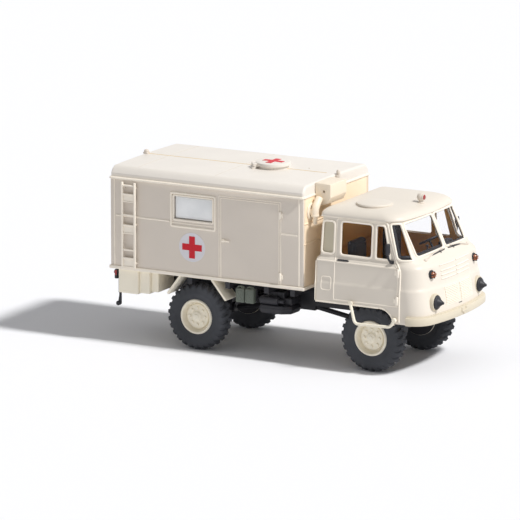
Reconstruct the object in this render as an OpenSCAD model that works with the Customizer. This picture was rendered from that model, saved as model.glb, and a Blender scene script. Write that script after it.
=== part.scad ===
// Scale model (1:87) of a forward-control 4x4 army ambulance lorry with a demountable shelter.
// Millimetres at model size. +X is forward, +Y is the left side, +Z is up.
// The origin lies on the ground, midway along the length and on the centre line.

/* [Wheels] */
// Distance between the two axles
wheelbase = 34.8; // [30:0.2:40]
// Rear axle's place along the length
rear_axle_x = -15; // [-16.5:0.1:-14]
// Outer radius of a tyre
tyre_r = 6; // [5.5:0.1:6.1]
// Width of a tyre
tyre_w = 3.2; // [2.4:0.1:3.6]
// Radius of the rim, which is the tyre's inner radius
rim_r = 3.1; // [2.5:0.1:3.4]
// Distance from the centre line to the middle of a tyre
track_half = 9.3; // [9:0.1:9.6]
// Radius of the axle shaft
shaft_r = 0.5; // [0.4:0.05:0.6]
// Radial play of the shaft in its housing
shaft_play = 0.05; // [0.02:0.01:0.09]

/* [Chassis] */
// Height of the frame rails' top edge above the ground
rail_top = 11; // [10.8:0.1:11.2]
// Depth of a frame rail
rail_h = 2; // [1.6:0.1:2.4]
// Thickness of a frame rail across
rail_w = 0.9; // [0.7:0.1:1.2]
// Distance from the centre line to the outside of a rail
rail_y = 4.6; // [4.2:0.1:5]
// Radius of the axle housing's tube
housing_r = 1; // [0.9:0.05:1.2]

/* [Shelter] */
// Length of the shelter's walls
shelter_l = 38.8; // [36:0.1:42]
// Gap between the shelter's front wall and the cab's rear wall
shelter_gap = 2.2; // [1.8:0.1:3]
// Half of the shelter's width over the walls
shelter_y = 12.2; // [11:0.1:13]
// Underside of the shelter's floor above the ground
floor_z = 13.4; // [13.2:0.1:14]
// Thickness of the floor
floor_t = 0.6; // [0.5:0.1:1]
// Height of the walls above the floor
wall_h = 15.7; // [13:0.1:18]
// Thickness of the shelter's walls and roof
wall_t = 0.8; // [0.6:0.1:1.1]
// How far the roof's gutter stands out from the wall
gutter_out = 0.45; // [0.3:0.05:0.8]
// Rise of the roof from the gutter to the ridge
roof_rise = 2.35; // [2.3:0.05:3]
// Width of a window's opening
window_w = 7.8; // [6:0.1:9]
// Height of a window's opening
window_h = 4; // [3:0.1:5]

/* [Cab] */
// Thickness of the cab's walls
cab_t = 0.7; // [0.6:0.05:0.8]
// Cab's rear wall along the length
cab_rear = 9.5; // [9.2:0.1:9.8]
// Half of the cab's width at the sill
cab_y = 12.5; // [12:0.1:12.8]
// Height of the door sill above the ground
sill_z = 11.9; // [11.7:0.1:12.1]
// Height of the waist line above the ground
waist_z = 19.4; // [19:0.1:19.8]
// Height of the roof's lip above the ground
lip_z = 27.2; // [26.8:0.1:27.6]
// Radius of the round roof hatches
hatch_r = 3.1; // [2.6:0.1:3.4]
// Thickness of the window glazing
glass_t = 0.4; // [0.3:0.05:0.6]
// Gap between the cab's wall and what is fitted inside it
fit_gap = 0.05; // [0.03:0.01:0.1]

/* [Hidden] */
$fn = 48;

front_axle_x = rear_axle_x + wheelbase;
rail_low = rail_top - rail_h;
shelter_end = cab_rear - shelter_gap;
shelter_x = shelter_end - shelter_l;
floor_top = floor_z + floor_t;
gutter_z = floor_top + wall_h;
tiny = 0.01;

ivory = [0.93, 0.87, 0.76];
bone = [0.88, 0.82, 0.66];
soot = [0.09, 0.09, 0.1];

// A block given by its two corners.
module block(low, high) {
    translate(low) cube(high - low);
}

// The same thing on the left and on the right side.
module both_sides() {
    children();
    mirror([0, 1, 0]) children();
}

// A round bar along Y between two places.
module bar_y(x, z, r, y0, y1) {
    translate([x, y0, z]) rotate([-90, 0, 0]) cylinder(r = r, h = y1 - y0);
}

// A round bar along X.
module bar_x(y, z, r, x0, x1) {
    translate([x0, y, z]) rotate([0, 90, 0]) cylinder(r = r, h = x1 - x0);
}

// A rounded window opening in a side wall, cut along Y. x0..x1 and z0..z1 are its edges.
module side_opening(x0, x1, z0, z1, y0, y1, r) {
    block([x0 + r, y0, z0], [x1 - r, y1, z1]);
    block([x0, y0, z0 + r], [x1, y1, z1 - r]);
    for (x = [x0 + r, x1 - r])
        for (z = [z0 + r, z1 - r])
            bar_y(x, z, r, y0, y1);
}

// ---- Wheels: pressed on a steel shaft, so each pair turns as one ----

module axle_shaft(x) {
    color("silver") bar_y(x, tyre_r, shaft_r, -track_half, track_half);
}

// Rubber-look ring with rounded shoulders, turned about the shaft.
tyre_shoulder = 0.7;
module tyre(x, y) {
    color(soot) translate([x, y, tyre_r]) rotate([90, 0, 0]) rotate_extrude() {
        translate([rim_r, -tyre_w / 2]) square([tyre_r - rim_r - tyre_shoulder, tyre_w]);
        translate([rim_r, tyre_shoulder - tyre_w / 2])
            square([tyre_r - rim_r, tyre_w - 2 * tyre_shoulder]);
        for (s = [-1, 1])
            translate([tyre_r - tyre_shoulder, s * (tyre_w / 2 - tyre_shoulder)])
                circle(r = tyre_shoulder);
    }
}

module tyres(x) {
    tyre(x, track_half);
    tyre(x, -track_half);
}

// Dished disc with a flange, six round holes and a hub, on the outer side of the wheel.
rim_flange = 0.35;
rim_disc = 0.6;
rim_dish = 0.9;
hub_r = 0.8;
rim_holes = 6;
rim_hole_r = 0.3;
rim_hole_pcd = 1.7;
module rim(x, side) {
    color(bone) translate([x, 0, tyre_r]) rotate([side * -90, 0, 0]) difference() {
        translate([0, 0, track_half]) union() {
            translate([0, 0, -tyre_w / 2]) difference() {
                cylinder(r = rim_r, h = tyre_w);
                translate([0, 0, -1]) cylinder(r = rim_r - rim_flange, h = tyre_w + 2);
            }
            translate([0, 0, tyre_w / 2 - rim_dish - rim_disc]) cylinder(r = rim_r, h = rim_disc);
            cylinder(r = hub_r, h = tyre_w / 2 - rim_dish + rim_disc);
            translate([0, 0, -tyre_w / 2]) cylinder(r = hub_r + 0.2, h = tyre_w / 2);
        }
        cylinder(r = shaft_r, h = track_half);
        for (i = [0 : rim_holes - 1])
            rotate([0, 0, i * 360 / rim_holes]) translate([rim_hole_pcd, 0, track_half])
                cylinder(r = rim_hole_r, h = tyre_w);
    }
}

module rims(x) {
    rim(x, 1);
    rim(x, -1);
}

// ---- Chassis ----

frame_rear = shelter_x + 0.8;
frame_front = 30.2;
bearer_t = 0.9;
bearer_h = 1;
rail_in = rail_y - rail_w;
// Channel rails, open towards the centre line.
module frame_rails() {
    color(soot) both_sides() difference() {
        block([frame_rear, rail_in, rail_low], [frame_front, rail_y, rail_top]);
        block([frame_rear - 1, rail_in - 1, rail_low + 0.35], [frame_front + 1, rail_y - 0.35, rail_top - 0.35]);
    }
}

module frame_crossmembers() {
    color(soot) for (x = [frame_rear, rear_axle_x - 6.5, rear_axle_x + 6.5, 10.4, frame_front - bearer_t])
        block([x, -rail_in, rail_low], [x + bearer_t, rail_in, rail_top]);
}

// Long bearers lie on the rails, and cross bearers on them carry the shelter.
cross_bearer_at = [[frame_rear - 0.3, 9.2], [rear_axle_x - 1.2, 11.6], [-8.6, 11.6], [-0.8, 11.6], [4.4, 11.6]];  // [x, half length]
module long_bearers() {
    color(soot) both_sides()
        block([frame_rear, rail_in, rail_top], [shelter_end - 0.6, rail_y, rail_top + bearer_h]);
}

module cross_bearers() {
    color(soot) for (b = cross_bearer_at)
        block([b[0], -b[1], rail_top + bearer_h], [b[0] + bearer_t, b[1], floor_z]);
}

// Outriggers between the rails and the cab's floor.
module cab_mounts() {
    color(soot) both_sides() for (x = [cab_rear + 1.4, 26.4])
        block([x, rail_in, rail_top], [x + 1.4, rail_y + 1.2, cab_floor_z]);
}

diff_r = 1.9;
module axle_housing(x, diff_y) {
    color(soot) difference() {
        union() {
            bar_y(x, tyre_r, housing_r, 0.4 + tyre_w / 2 - track_half, track_half - tyre_w / 2 - 0.4);
            translate([x, diff_y, tyre_r]) sphere(r = diff_r);
            bar_x(diff_y, tyre_r, 0.9, x - 2.2, x + 2.2);
            both_sides() block([x - 1, spring_y - 0.5, tyre_r], [x + 1, spring_y + 0.5, spring_z]);
        }
        bar_y(x, tyre_r, shaft_r + shaft_play, -track_half, track_half);
    }
}

spring_y = rail_y + 0.9;
spring_z = tyre_r + 1.5;
leaf_t = 0.3;
leaf_w = 0.9;
// Four stepped leaves on each side of each axle, hung from the rail by an eye at each end.
module leaf_spring(x) {
    leaves = [[4.6, 0], [3.4, 1], [2.2, 2]];  // [half length, leaf number from the top]
    for (leaf = leaves)
        block([x - leaf[0], spring_y - leaf_w / 2, spring_z + 1 - (leaf[1] + 1) * leaf_t],
              [x + leaf[0], spring_y + leaf_w / 2, spring_z + 1 - leaf[1] * leaf_t + tiny]);
    block([x - 0.9, spring_y - leaf_w / 2, spring_z],
          [x + 0.9, spring_y + leaf_w / 2, spring_z + 1]);
    for (end = [-4.3, 4.3])
        block([x + end - 0.35, spring_y - leaf_w / 2, spring_z + 0.8],
              [x + end + 0.35, spring_y + leaf_w / 2, rail_top - 0.4]);
}

module leaf_springs() {
    color(soot) both_sides() {
        leaf_spring(front_axle_x);
        leaf_spring(rear_axle_x);
    }
}

engine_y = rail_y - rail_w - 0.5;
module engine_gearbox() {
    color(soot) {
        block([19.6, -engine_y, 8.4], [28.6, engine_y, cab_floor_z - 0.1]);
        block([22.6, -1.6, 7.6], [27.6, 1.6, 8.4]);
        block([13.4, -1.7, 8.2], [19.6, 1.7, 11.2]);
    }
}

shaft_tube_r = 0.45;
module transfer_case() {
    color(soot) {
        block([1.2, -2.4, 7.6], [4.4, 1.6, 10.6]);
        bar_x(0, 8.5, shaft_tube_r, 4.4, 13.4);
        bar_x(front_diff_y, 8.1, shaft_tube_r, 4.4, 5);
        // Propeller shafts slope down to each axle's differential.
        hull() {
            translate([4.6, front_diff_y, 8.1]) sphere(r = shaft_tube_r, $fn = 16);
            translate([front_axle_x - 2.75, front_diff_y, tyre_r]) sphere(r = shaft_tube_r, $fn = 16);
        }
        hull() {
            translate([1.1, 0, 8.1]) sphere(r = shaft_tube_r, $fn = 16);
            translate([rear_axle_x + 2.75, 0, tyre_r]) sphere(r = shaft_tube_r, $fn = 16);
        }
    }
}
front_diff_y = -1.6;

tank_y = 11;
tank_in = 6.2;
module fuel_tank() {
    color(soot) {
        hull() {
            block([-2.4, -tank_y, 9], [2.3, -tank_in, 9.7]);
            block([3.6, 1.4 - tank_y, 9], [4, -tank_in, 9.7]);
            block([-1.9, 0.3 - tank_y, 8.2], [2.1, -tank_in, 8.8]);
            block([3.4, 1.6 - tank_y, 8.2], [3.6, -tank_in, 8.8]);
        }
        block([-1.9, -9.2, 9.7], [3.4, -tank_in, 10.9]);
        block([-1, -9.2, 10.9], [1.9, -tank_in, rail_top + 0.95]);
        block([-0.6, -tank_in, 9.6], [1.6, -rail_y, rail_top - 0.5]);
    }
}

silencer_r = 0.75;
module exhaust_silencer() {
    color(soot) {
        bar_x(-10.1, 9.7 + silencer_r, silencer_r, -2.3, 1.4);
        bar_x(-10.1, 9.7 + silencer_r, 0.35, 1.4, 2.4);
    }
}

can_w = 1.75;
can_t = 1.2;
can_h = 2.6;
can_y = 11;
can_z = 9.6;
can_x = [-6.95, -5.05];
module jerry_cans() {
    color([0.36, 0.43, 0.36]) for (x = can_x) {
        block([x, -can_y, can_z], [x + can_w, can_t - can_y, can_z + can_h]);
        block([x + 0.3, 0.35 - can_y, can_z + can_h],
              [x + can_w - 0.3, can_t - 0.35 - can_y, can_z + can_h + 0.35]);
    }
    // Open tray and arm that hold the two cans.
    color(soot) {
        block([can_x[0] - 0.1, can_t - can_y, can_z], [can_x[1] + can_w + 0.1, can_t - can_y + 0.5, rail_top + 1]);
        block([can_x[0] + 0.8, can_t - can_y + 0.5, rail_low + 0.9],
              [can_x[1] + can_w - 0.8, -rail_y, rail_top - 0.5]);
    }
}

coupling_r = 0.45;
coupling_z = 9.6;
coupling_h = 0.9;
coupling_x = frame_rear - 1.35;
module tow_coupling() {
    color(soot) difference() {
        union() {
            translate([coupling_x, 0, coupling_z]) cylinder(r = 0.95, h = coupling_h);
            block([coupling_x, -0.6, coupling_z], [frame_rear, 0.6, coupling_z + coupling_h]);
        }
        translate([coupling_x, 0, coupling_z - 1]) cylinder(r = coupling_r, h = coupling_h + 2);
    }
}

leg_y = 10;
leg_x = shelter_x + 0.65;
leg_w = 0.5;
locker_low = 9;
module support_legs() {
    color(soot) both_sides() {
        block([leg_x - leg_w / 2, leg_y - leg_w / 2, 6.6], [leg_x + leg_w / 2, leg_y + leg_w / 2, floor_z]);
        bar_y(leg_x - 0.35, 6.6, 0.42, leg_y - 0.4, leg_y + 0.4);
    }
}

lamp_x = leg_x - leg_w / 2 - 0.1;
module tail_lamps() {
    color([0.45, 0.05, 0.05]) both_sides() {
        block([lamp_x - 0.6, leg_y - 0.5, 11.1], [lamp_x, leg_y + 0.5, 12.8]);
        bar_x(leg_y, 12.25, 0.38, lamp_x - 0.95, lamp_x - 0.6);
        bar_x(leg_y, 11.5, 0.28, lamp_x - 0.8, lamp_x - 0.6);
    }
}

liner_t = 0.5;
module wheel_arch_liners() {
    color(soot) both_sides() {
        block([13.6, rail_y + 0.3, 12.3], [25.6, cab_y - cab_t - 0.3, 12.3 + liner_t]);
        block([25.6, rail_y + 0.3, 9.9], [25.6 + liner_t, cab_y - cab_t - 0.7, 12.3 + liner_t]);
    }
}

// ---- Shelter ----

rim_out = 0.25;
module shelter_floor() {
    color(ivory) block([shelter_x - rim_out, -shelter_y - rim_out, floor_z],
                       [shelter_end + rim_out, shelter_y + rim_out, floor_top]);
}

window_mid = -14.7;
window_z = floor_top + 9.75;
frame_out = 0.25;
window_edge = 0.7;
door_x0 = -9.3;
door_x1 = 2.7;
door_low = floor_top + 0.15;
door_high = gutter_z - 1.15;
line_t = 0.18;

module side_wall() {
    difference() {
        union() {
            block([shelter_x, shelter_y - wall_t, floor_top], [shelter_end, shelter_y, gutter_z]);
            block([window_mid - window_w / 2 - window_edge, shelter_y - wall_t, window_z - window_edge],
                  [window_mid + window_w / 2 + window_edge, shelter_y + frame_out,
                   window_z + window_h + window_edge]);
        }
        side_opening(window_mid - window_w / 2, window_mid + window_w / 2, window_z, window_z + window_h,
                     shelter_y - wall_t - 1, shelter_y + 1, 0.3);
    }
}

// The right wall carries the crew door, with its frame beads, hinges and lever.
module shelter_right_wall() {
    color(ivory) mirror([0, 1, 0]) {
        side_wall();
        for (x = [door_x0, door_x1])
            block([x - line_t / 2, shelter_y, door_low], [x + line_t / 2, shelter_y + line_t, door_high]);
        block([door_x0, shelter_y, door_high - line_t], [door_x1, shelter_y + line_t, door_high]);
        for (z = [door_low + 1.2, door_high - 2.3])
            block([door_x1 - 0.15, shelter_y, z - 0.45], [door_x1 + 0.3, shelter_y + 0.35, z + 0.45]);
        block([-8.7, shelter_y, 20.55], [-7.3, shelter_y + 0.35, 20.9]);
    }
}

module shelter_left_wall() {
    color(ivory) side_wall();
}

module end_wall(x) {
    block([x, wall_t - shelter_y, floor_top], [x + wall_t, shelter_y - wall_t, gutter_z]);
}

module shelter_front_wall() {
    color(ivory) {
        end_wall(shelter_end - wall_t);
        for (z = [floor_top + 5.2, floor_top + 11.1])
            block([shelter_end, wall_t - shelter_y, z], [shelter_end + 0.15, shelter_y - wall_t, z + 0.25]);
    }
}

// The rear wall has a pair of stretcher doors, shown by their beads, hinges and bar.
rear_door_y = 7.2;
module shelter_rear_wall() {
    color(ivory) {
        end_wall(shelter_x);
        for (y = [-rear_door_y, 0, rear_door_y])
            block([shelter_x - line_t, y - line_t / 2, door_low], [shelter_x, y + line_t / 2, door_high]);
        block([shelter_x - line_t, -rear_door_y, door_high - line_t], [shelter_x, rear_door_y, door_high]);
        for (y = [-rear_door_y, rear_door_y])
            for (z = [door_low + 1.5, door_low + 7, door_high - 2])
                block([shelter_x - 0.3, y - 0.25, z - 0.4], [shelter_x, y + 0.25, z + 0.4]);
        block([shelter_x - 0.35, 0.5, 20.4], [shelter_x, 0.85, 22.2]);
    }
}

// Half of the roof's section, from the gutter to the ridge, as [distance from the centre, height].
eave_h = 0.8;
lip_h = 0.35;
function roof_half(out, drop) = [
    [shelter_y + 0.05 + out, 0],
    [shelter_y + 0.05 + out, eave_h + 0.25 - drop / 2],
    [shelter_y - 0.25 + out, eave_h + 0.75 - drop],
    [shelter_y - 0.85 + out, eave_h + 1.2 - drop],
    [shelter_y - 1.6 + out, eave_h + 1.42 - drop],
    [0, roof_rise - drop]
];
function mirrored(half) = concat(half, [for (i = [len(half) - 2 : -1 : 0]) [-half[i][0], half[i][1]]]);

module roof_prism(x0, x1, out, drop) {
    translate([x0, 0, gutter_z]) rotate([90, 0, 90])
        linear_extrude(x1 - x0) polygon(mirrored(roof_half(out, drop)));
}

module shelter_roof() {
    color(ivory) {
        difference() {
            roof_prism(shelter_x, shelter_end, 0, 0);
            translate([0, 0, -tiny]) roof_prism(shelter_x + wall_t, shelter_end - wall_t, -wall_t, wall_t);
        }
        // Gutter lip round the lower edge.
        difference() {
            block([shelter_x - 0.2, -shelter_y - gutter_out, gutter_z],
                  [shelter_end + 0.2, shelter_y + gutter_out, gutter_z + lip_h]);
            block([shelter_x + wall_t, wall_t - shelter_y, gutter_z - 1],
                  [shelter_end - wall_t, shelter_y - wall_t, gutter_z + 1]);
        }
    }
}

module shelter_windows() {
    color([0.8, 0.85, 0.86]) both_sides()
        block([window_mid - window_w / 2 - 0.5, shelter_y - wall_t - glass_t - fit_gap, window_z - 0.5],
              [window_mid + window_w / 2 + 0.5, shelter_y - wall_t - fit_gap, window_z + window_h + 0.5]);
}

ladder_x0 = shelter_x + 2.5;
ladder_x1 = shelter_x + 5.4;
ladder_y = shelter_y + 0.75;
stile_w = 0.35;
rung_t = 0.25;
rung_z = [28.7, 27.1, 25.7, 23.3, 21.4, 20, 17, 15.4, 14];
module side_ladder() {
    color(ivory) mirror([0, 1, 0]) {
        for (x = [ladder_x0, ladder_x1 - stile_w])
            block([x, ladder_y - 0.4, floor_top + 0.1], [x + stile_w, ladder_y, gutter_z - 0.1]);
        for (z = rung_z)
            block([ladder_x0, ladder_y - 0.4, z + 0.12], [ladder_x1, ladder_y, z + 0.12 + rung_t]);
        // Stand-off feet against the wall.
        for (x = [ladder_x0, ladder_x1 - stile_w])
            for (z = [14.6, 21.6, 28.2])
                block([x, shelter_y, z], [x + stile_w, ladder_y - 0.4, z + 0.3]);
    }
}

hood_y0 = 2;
hood_y1 = 8;
hood_out = 3.2;
module heater_hood() {
    color(ivory) translate([shelter_end, -hood_y0, 0]) rotate([90, 0, 0])
        linear_extrude(hood_y1 - hood_y0)
            polygon([[0, gutter_z + lip_h + 1.65], [hood_out, gutter_z + lip_h + 1.65],
                     [hood_out, gutter_z - 0.25], [hood_out - 0.9, gutter_z - 1.2],
                     [hood_out - 1.9, gutter_z - 1.75], [0.2, gutter_z - 1.9],
                     [0.2, gutter_z + lip_h], [0, gutter_z + lip_h]]);
}

elbow_y = -9.7;
elbow_x = shelter_end + 1.05;
elbow_z = gutter_z - 2.4;
elbow_r = 0.7;
module vent_elbow() {
    color(ivory) {
        bar_x(elbow_y + 0.3, elbow_z - 0.15, 1.4, shelter_end, shelter_end + 0.3);
        bar_x(elbow_y, elbow_z, elbow_r * 0.8, shelter_end + 0.2, elbow_x);
        translate([elbow_x, elbow_y, elbow_z]) sphere(r = elbow_r);
        translate([elbow_x, elbow_y, elbow_z - 1.6]) cylinder(r = elbow_r, h = 1.6);
        translate([elbow_x, elbow_y, elbow_z]) rotate([-35, 0, 0]) cylinder(r = elbow_r, h = 1.3);
    }
}

shelter_hatch_x = -5.3;
ridge_z = gutter_z + roof_rise;
hatch_h = 0.75;
module shelter_hatch() {
    color(ivory) translate([shelter_hatch_x, 0, 0]) {
        translate([0, 0, ridge_z + 0.05]) cylinder(r = hatch_r - 0.4, h = 0.5);
        translate([0, 0, ridge_z + 0.45]) cylinder(r = hatch_r, h = hatch_h);
        block([-hatch_r - 0.5, -0.5, ridge_z + 0.05], [-hatch_r + 0.3, 0.5, ridge_z + 0.6]);
    }
}

module marker_lamps() {
    color(ivory) {
        block([shelter_x - 0.1, -0.5, ridge_z + 0.05], [shelter_x + 0.8, 0.5, ridge_z + 0.85]);
        block([shelter_end, -0.3, ridge_z - 1], [shelter_end + 0.6, 0.3, ridge_z + 0.15]);
    }
}

rear_lockers_x = shelter_x + 1.5;
// Each locker as [rear end, front end, outer face, underside].
lockers = [
    [rear_lockers_x, rear_lockers_x + 3.5, 11.8, locker_low],
    [rear_lockers_x + 3.5, rear_lockers_x + 5.6, 9.4, locker_low],
    [rear_lockers_x + 5.6, rear_lockers_x + 7.4, 7, locker_low]
];
module rear_lockers() {
    color(bone) both_sides() for (l = lockers)
        block([l[0], rail_y + 0.4, l[3]], [l[1], l[2], floor_z]);
}

flap_t = 0.45;
module flap(top_x, low_x, low_z, y_in, dir) {
    slope = dir * flap_t * 1.3;
    translate([0, 12, 0]) rotate([90, 0, 0]) linear_extrude(12 - y_in)
        polygon([[top_x, floor_z], [low_x, low_z], [low_x - slope, low_z - flap_t * 0.7],
                 [top_x - slope * 1.2, floor_z]]);
}

module rear_mudguards() {
    color(bone) both_sides() {
        flap(rear_axle_x - 2.2, rear_axle_x - 5, 9.9, 8.4, 1);
        flap(rear_axle_x + 3.6, rear_axle_x + 6.5, 9.9, 8, -1);
    }
}

// ---- Cab ----

// The cab's outer sections from the bottom up, as [height, front x, rear x, half width].
front_x = 32;
cab_sections = [
    [9.6, front_x, cab_rear, cab_y],
    [sill_z, front_x - 0.1, cab_rear, cab_y],
    [waist_z - 0.6, front_x - 1.2, cab_rear, cab_y - 0.45],
    [waist_z, front_x - 1.5, cab_rear, cab_y - 0.55],
    [waist_z + 0.7, front_x - 2.1, cab_rear + 0.6, cab_y - 0.95],
    [waist_z + 1.8, front_x - 3.25, cab_rear + 0.65, cab_y - 1.05],
    [lip_z, front_x - 5.95, cab_rear + 0.8, cab_y - 1.5],
    [lip_z + 0.02, front_x - 5.7, cab_rear + 0.7, cab_y - 1.35],
    [lip_z + 0.3, front_x - 5.75, cab_rear + 0.7, cab_y - 1.35],
    [lip_z + 0.9, front_x - 6.2, cab_rear + 0.9, cab_y - 1.75],
    [lip_z + 1.4, front_x - 7.5, cab_rear + 1.4, cab_y - 3],
    [lip_z + 1.65, front_x - 9.7, cab_rear + 2.6, cab_y - 5.2]
];
front_bow = 50;
corner_r = 3.2;
rear_r = 0.8;

// Outline of one section: bowed front, round front corners and small rear corners.
function outline_half(xf, xr, yw, rc, rb) =
    let (dx = sqrt(pow(front_bow - rc, 2) - pow(yw - rc, 2)),
         a = atan2(yw - rc, dx), cx = xf - front_bow + dx)
    concat(
        [for (i = [0 : 5]) let (t = a * i / 5) [xf - front_bow + front_bow * cos(t), front_bow * sin(t)]],
        [for (i = [1 : 8]) let (t = a + (90 - a) * i / 8) [cx + rc * cos(t), yw - rc + rc * sin(t)]],
        [for (i = [0 : 4]) let (t = 90 + 22.5 * i) [xr + rb + rb * cos(t), yw - rb + rb * sin(t)]]
    );
function outline(s, inset) =
    let (half = outline_half(s[1] - inset, s[2] + inset, s[3] - inset,
                             max(corner_r - inset, 0.5), max(rear_r - inset, 0.2)))
    concat(half, [for (i = [len(half) - 1 : -1 : 1]) [half[i][0], -half[i][1]]]);

// A closed skin over sections that all have the same number of points.
module skin(sections, inset) {
    rings = [for (s = sections) [for (p = outline(s, inset)) [p[0], p[1], s[0]]]];
    n = len(rings[0]);
    m = len(rings);
    // Each cap is a fan of triangles about a point on the centre line.
    polyhedron(
        points = concat([for (ring = rings) for (p = ring) p],
                        [[20, 0, rings[0][0][2]], [18, 0, rings[m - 1][0][2]]]),
        faces = concat(
            [for (i = [0 : n - 1]) [m * n, i, (i + 1) % n]],
            [for (k = [0 : m - 2]) for (i = [0 : n - 1])
                [k * n + i, (k + 1) * n + (i + 1) % n, k * n + (i + 1) % n]],
            [for (k = [0 : m - 2]) for (i = [0 : n - 1])
                [k * n + i, (k + 1) * n + i, (k + 1) * n + (i + 1) % n]],
            [for (i = [0 : n - 1]) [m * n + 1, (m - 1) * n + (i + 1) % n, (m - 1) * n + i]]
        ),
        convexity = 6
    );
}

// The inside follows the outside, one wall thinner, and is open below.
function inner_sections() = concat(
    [[9.6 - 1, front_x, cab_rear, cab_y]],
    [for (i = [0 : len(cab_sections) - 1]) if (i < 7) cab_sections[i]],
    [[lip_z + 0.3, front_x - 6, cab_rear + 0.9, cab_y - 1.6],
     [lip_z + 0.9 - cab_t / 2, front_x - 6.9, cab_rear + 1.2, cab_y - 2.2]]
);

door_window = [14.7, 20.45, waist_z + 1.3, lip_z - 0.75];   // [x0, x1, z0, z1]
vent_window = [21.35, 23.4, waist_z + 1.3, lip_z - 0.75];
rear_window = [10.9, 13, waist_z + 1.3, lip_z - 1];
screen_low = waist_z + 1.6;
screen_high = lip_z - 0.25;
rake = 18.5;

// Rounded opening seen from the front, cut along X. y0..y1 and z0..z1 are its edges.
module front_opening(y0, y1, z0, z1, x0, x1, r) {
    translate([x0, 0, 0]) rotate([90, 0, 90]) linear_extrude(x1 - x0) {
        translate([y0 + r, z0]) square([y1 - y0 - 2 * r, z1 - z0]);
        translate([y0, z0 + r]) square([y1 - y0, z1 - z0 - 2 * r]);
        for (y = [y0 + r, y1 - r])
            for (z = [z0 + r, z1 - r])
                translate([y, z]) circle(r = r, $fn = 24);
    }
}

module cab_shell() {
    color(ivory) difference() {
        skin(cab_sections, 0);
        skin(inner_sections(), cab_t);
        both_sides() {
            side_opening(door_window[0], door_window[1], door_window[2], door_window[3], 10, 14, 0.6);
            side_opening(vent_window[0], vent_window[1], vent_window[2], vent_window[3], 10, 14, 0.5);
            side_opening(rear_window[0], rear_window[1], rear_window[2], rear_window[3],
                         cab_y - 1.45, 14, 0.5);
            // Two-piece windscreen and the quarter lights at its corners.
            front_opening(0.3, 9.1, screen_low, screen_high, 22, 34, 0.7);
            translate([23.2, 14, 0]) rotate([0, 0, -45])
                side_opening(1.2, 3.6, screen_low, screen_high, -6, 6, 0.5);
            // The sides are cut away below the sill, back from the front mudguard's curve.
            block([0, 9, 0], [arch_x - arch_r, 14, sill_z]);
            bar_y(arch_x - arch_r, sill_z - arch_r, arch_r, 9, 14);
            block([0, 9, 0], [arch_x, 14, sill_z - arch_r]);
        }
        block([0, -9.5, 0], [28, 9.5, sill_z]);
    }
}
arch_x = 25.2;
arch_r = 2.3;

module cab_glazing() {
    color([0.85, 0.9, 0.92, 0.4]) intersection() {
        difference() {
            skin(inner_sections(), cab_t + fit_gap);
            skin(inner_sections(), cab_t + fit_gap + glass_t);
            both_sides() block([0, 8, 0], [14, 14, 40]);
            block([0, -14, 0], [cab_rear + 3, 14, 40]);
        }
        block([0, -14, waist_z + 1], [40, 14, lip_z - 0.1]);
    }
}

cab_floor_z = 12.9;
floor_plate_t = 0.5;
module cab_floor() {
    color(soot) {
        block([cab_rear + 1.1, -11.4, cab_floor_z], [28.2, 11.4, cab_floor_z + floor_plate_t]);
        // Engine cover between the seats.
        block([15.5, -2.6, cab_floor_z + floor_plate_t], [26.2, 2.6, 17]);
    }
}

seat_y = 6.4;
module cab_seats() {
    color(soot) both_sides() {
        block([14.6, seat_y - 2.4, cab_floor_z + floor_plate_t], [19, seat_y + 2.4, 16.2]);
        block([13.2, seat_y - 2.3, cab_floor_z + floor_plate_t], [14.4, seat_y + 2.3, 22.2]);
        block([14.4, seat_y - 2, 13.8], [14.6, seat_y + 2, 15.6]);
    }
}

module dashboard() {
    color(soot) {
        block([26.2, -9.8, 18.2], [27.6, 9.8, 19.9]);
        block([25.2, -9.6, 19.4], [26.2, 9.6, 20.3]);
    }
}

wheel_x = 22.4;
wheel_z = 20.6;
module steering_wheel() {
    color(soot) translate([wheel_x, seat_y, wheel_z]) rotate([0, -28, 0]) {
        rotate_extrude() translate([1.75, 0]) circle(r = 0.2);
        for (a = [0 : 120 : 240]) rotate([0, 0, a]) block([0, -0.15, -0.12], [1.75, 0.15, 0.12]);
        cylinder(r = 0.35, h = 0.35, center = true);
        translate([0, 0, -8]) cylinder(r = 0.2, h = 8);
    }
}

cab_hatch_x = 17.9;
cab_hatch_y = -5.8;
cab_top = lip_z + 1.65;
module cab_hatch() {
    color(ivory) translate([cab_hatch_x, cab_hatch_y, cab_top + 0.04]) cylinder(r = hatch_r, h = 0.45);
}

beacon_x = 24;
module roof_beacon() {
    color([0.93, 0.8, 0.68]) translate([beacon_x, 0, cab_top - 0.1]) {
        cylinder(r = 0.5, h = 0.5);
        translate([0, 0, 0.87]) sphere(r = 0.8);
    }
}

bumper_z0 = 9.6;
bumper_z1 = 11.1;
bumper_t = 0.5;
function bumper_line(out) = outline_half(front_x - 0.15 + out, 24, cab_y + out, corner_r + out, 0.5);
function bumper_strip() =
    let (o = [for (p = bumper_line(bumper_t + 0.15)) if (p[0] > 27.5) p],
         i = [for (p = bumper_line(0.2)) if (p[0] > 27.5) p])
    concat(o, [for (k = [len(i) - 1 : -1 : 0]) i[k]]);
module front_bumper() {
    color(bone) {
        both_sides() translate([0, 0, bumper_z0]) linear_extrude(bumper_z1 - bumper_z0)
            polygon(bumper_strip());
        // Tow hook on the middle of the bumper.
        block([front_x + 0.5, -0.9, bumper_z0 - 0.1], [front_x + 0.9, 0.9, bumper_z0 + 0.5]);
    }
}

lamp_y = 8.2;
lamp_z = 13.2;
lamp_ring_r = 1.45;
cover_r = 1.2;
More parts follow.
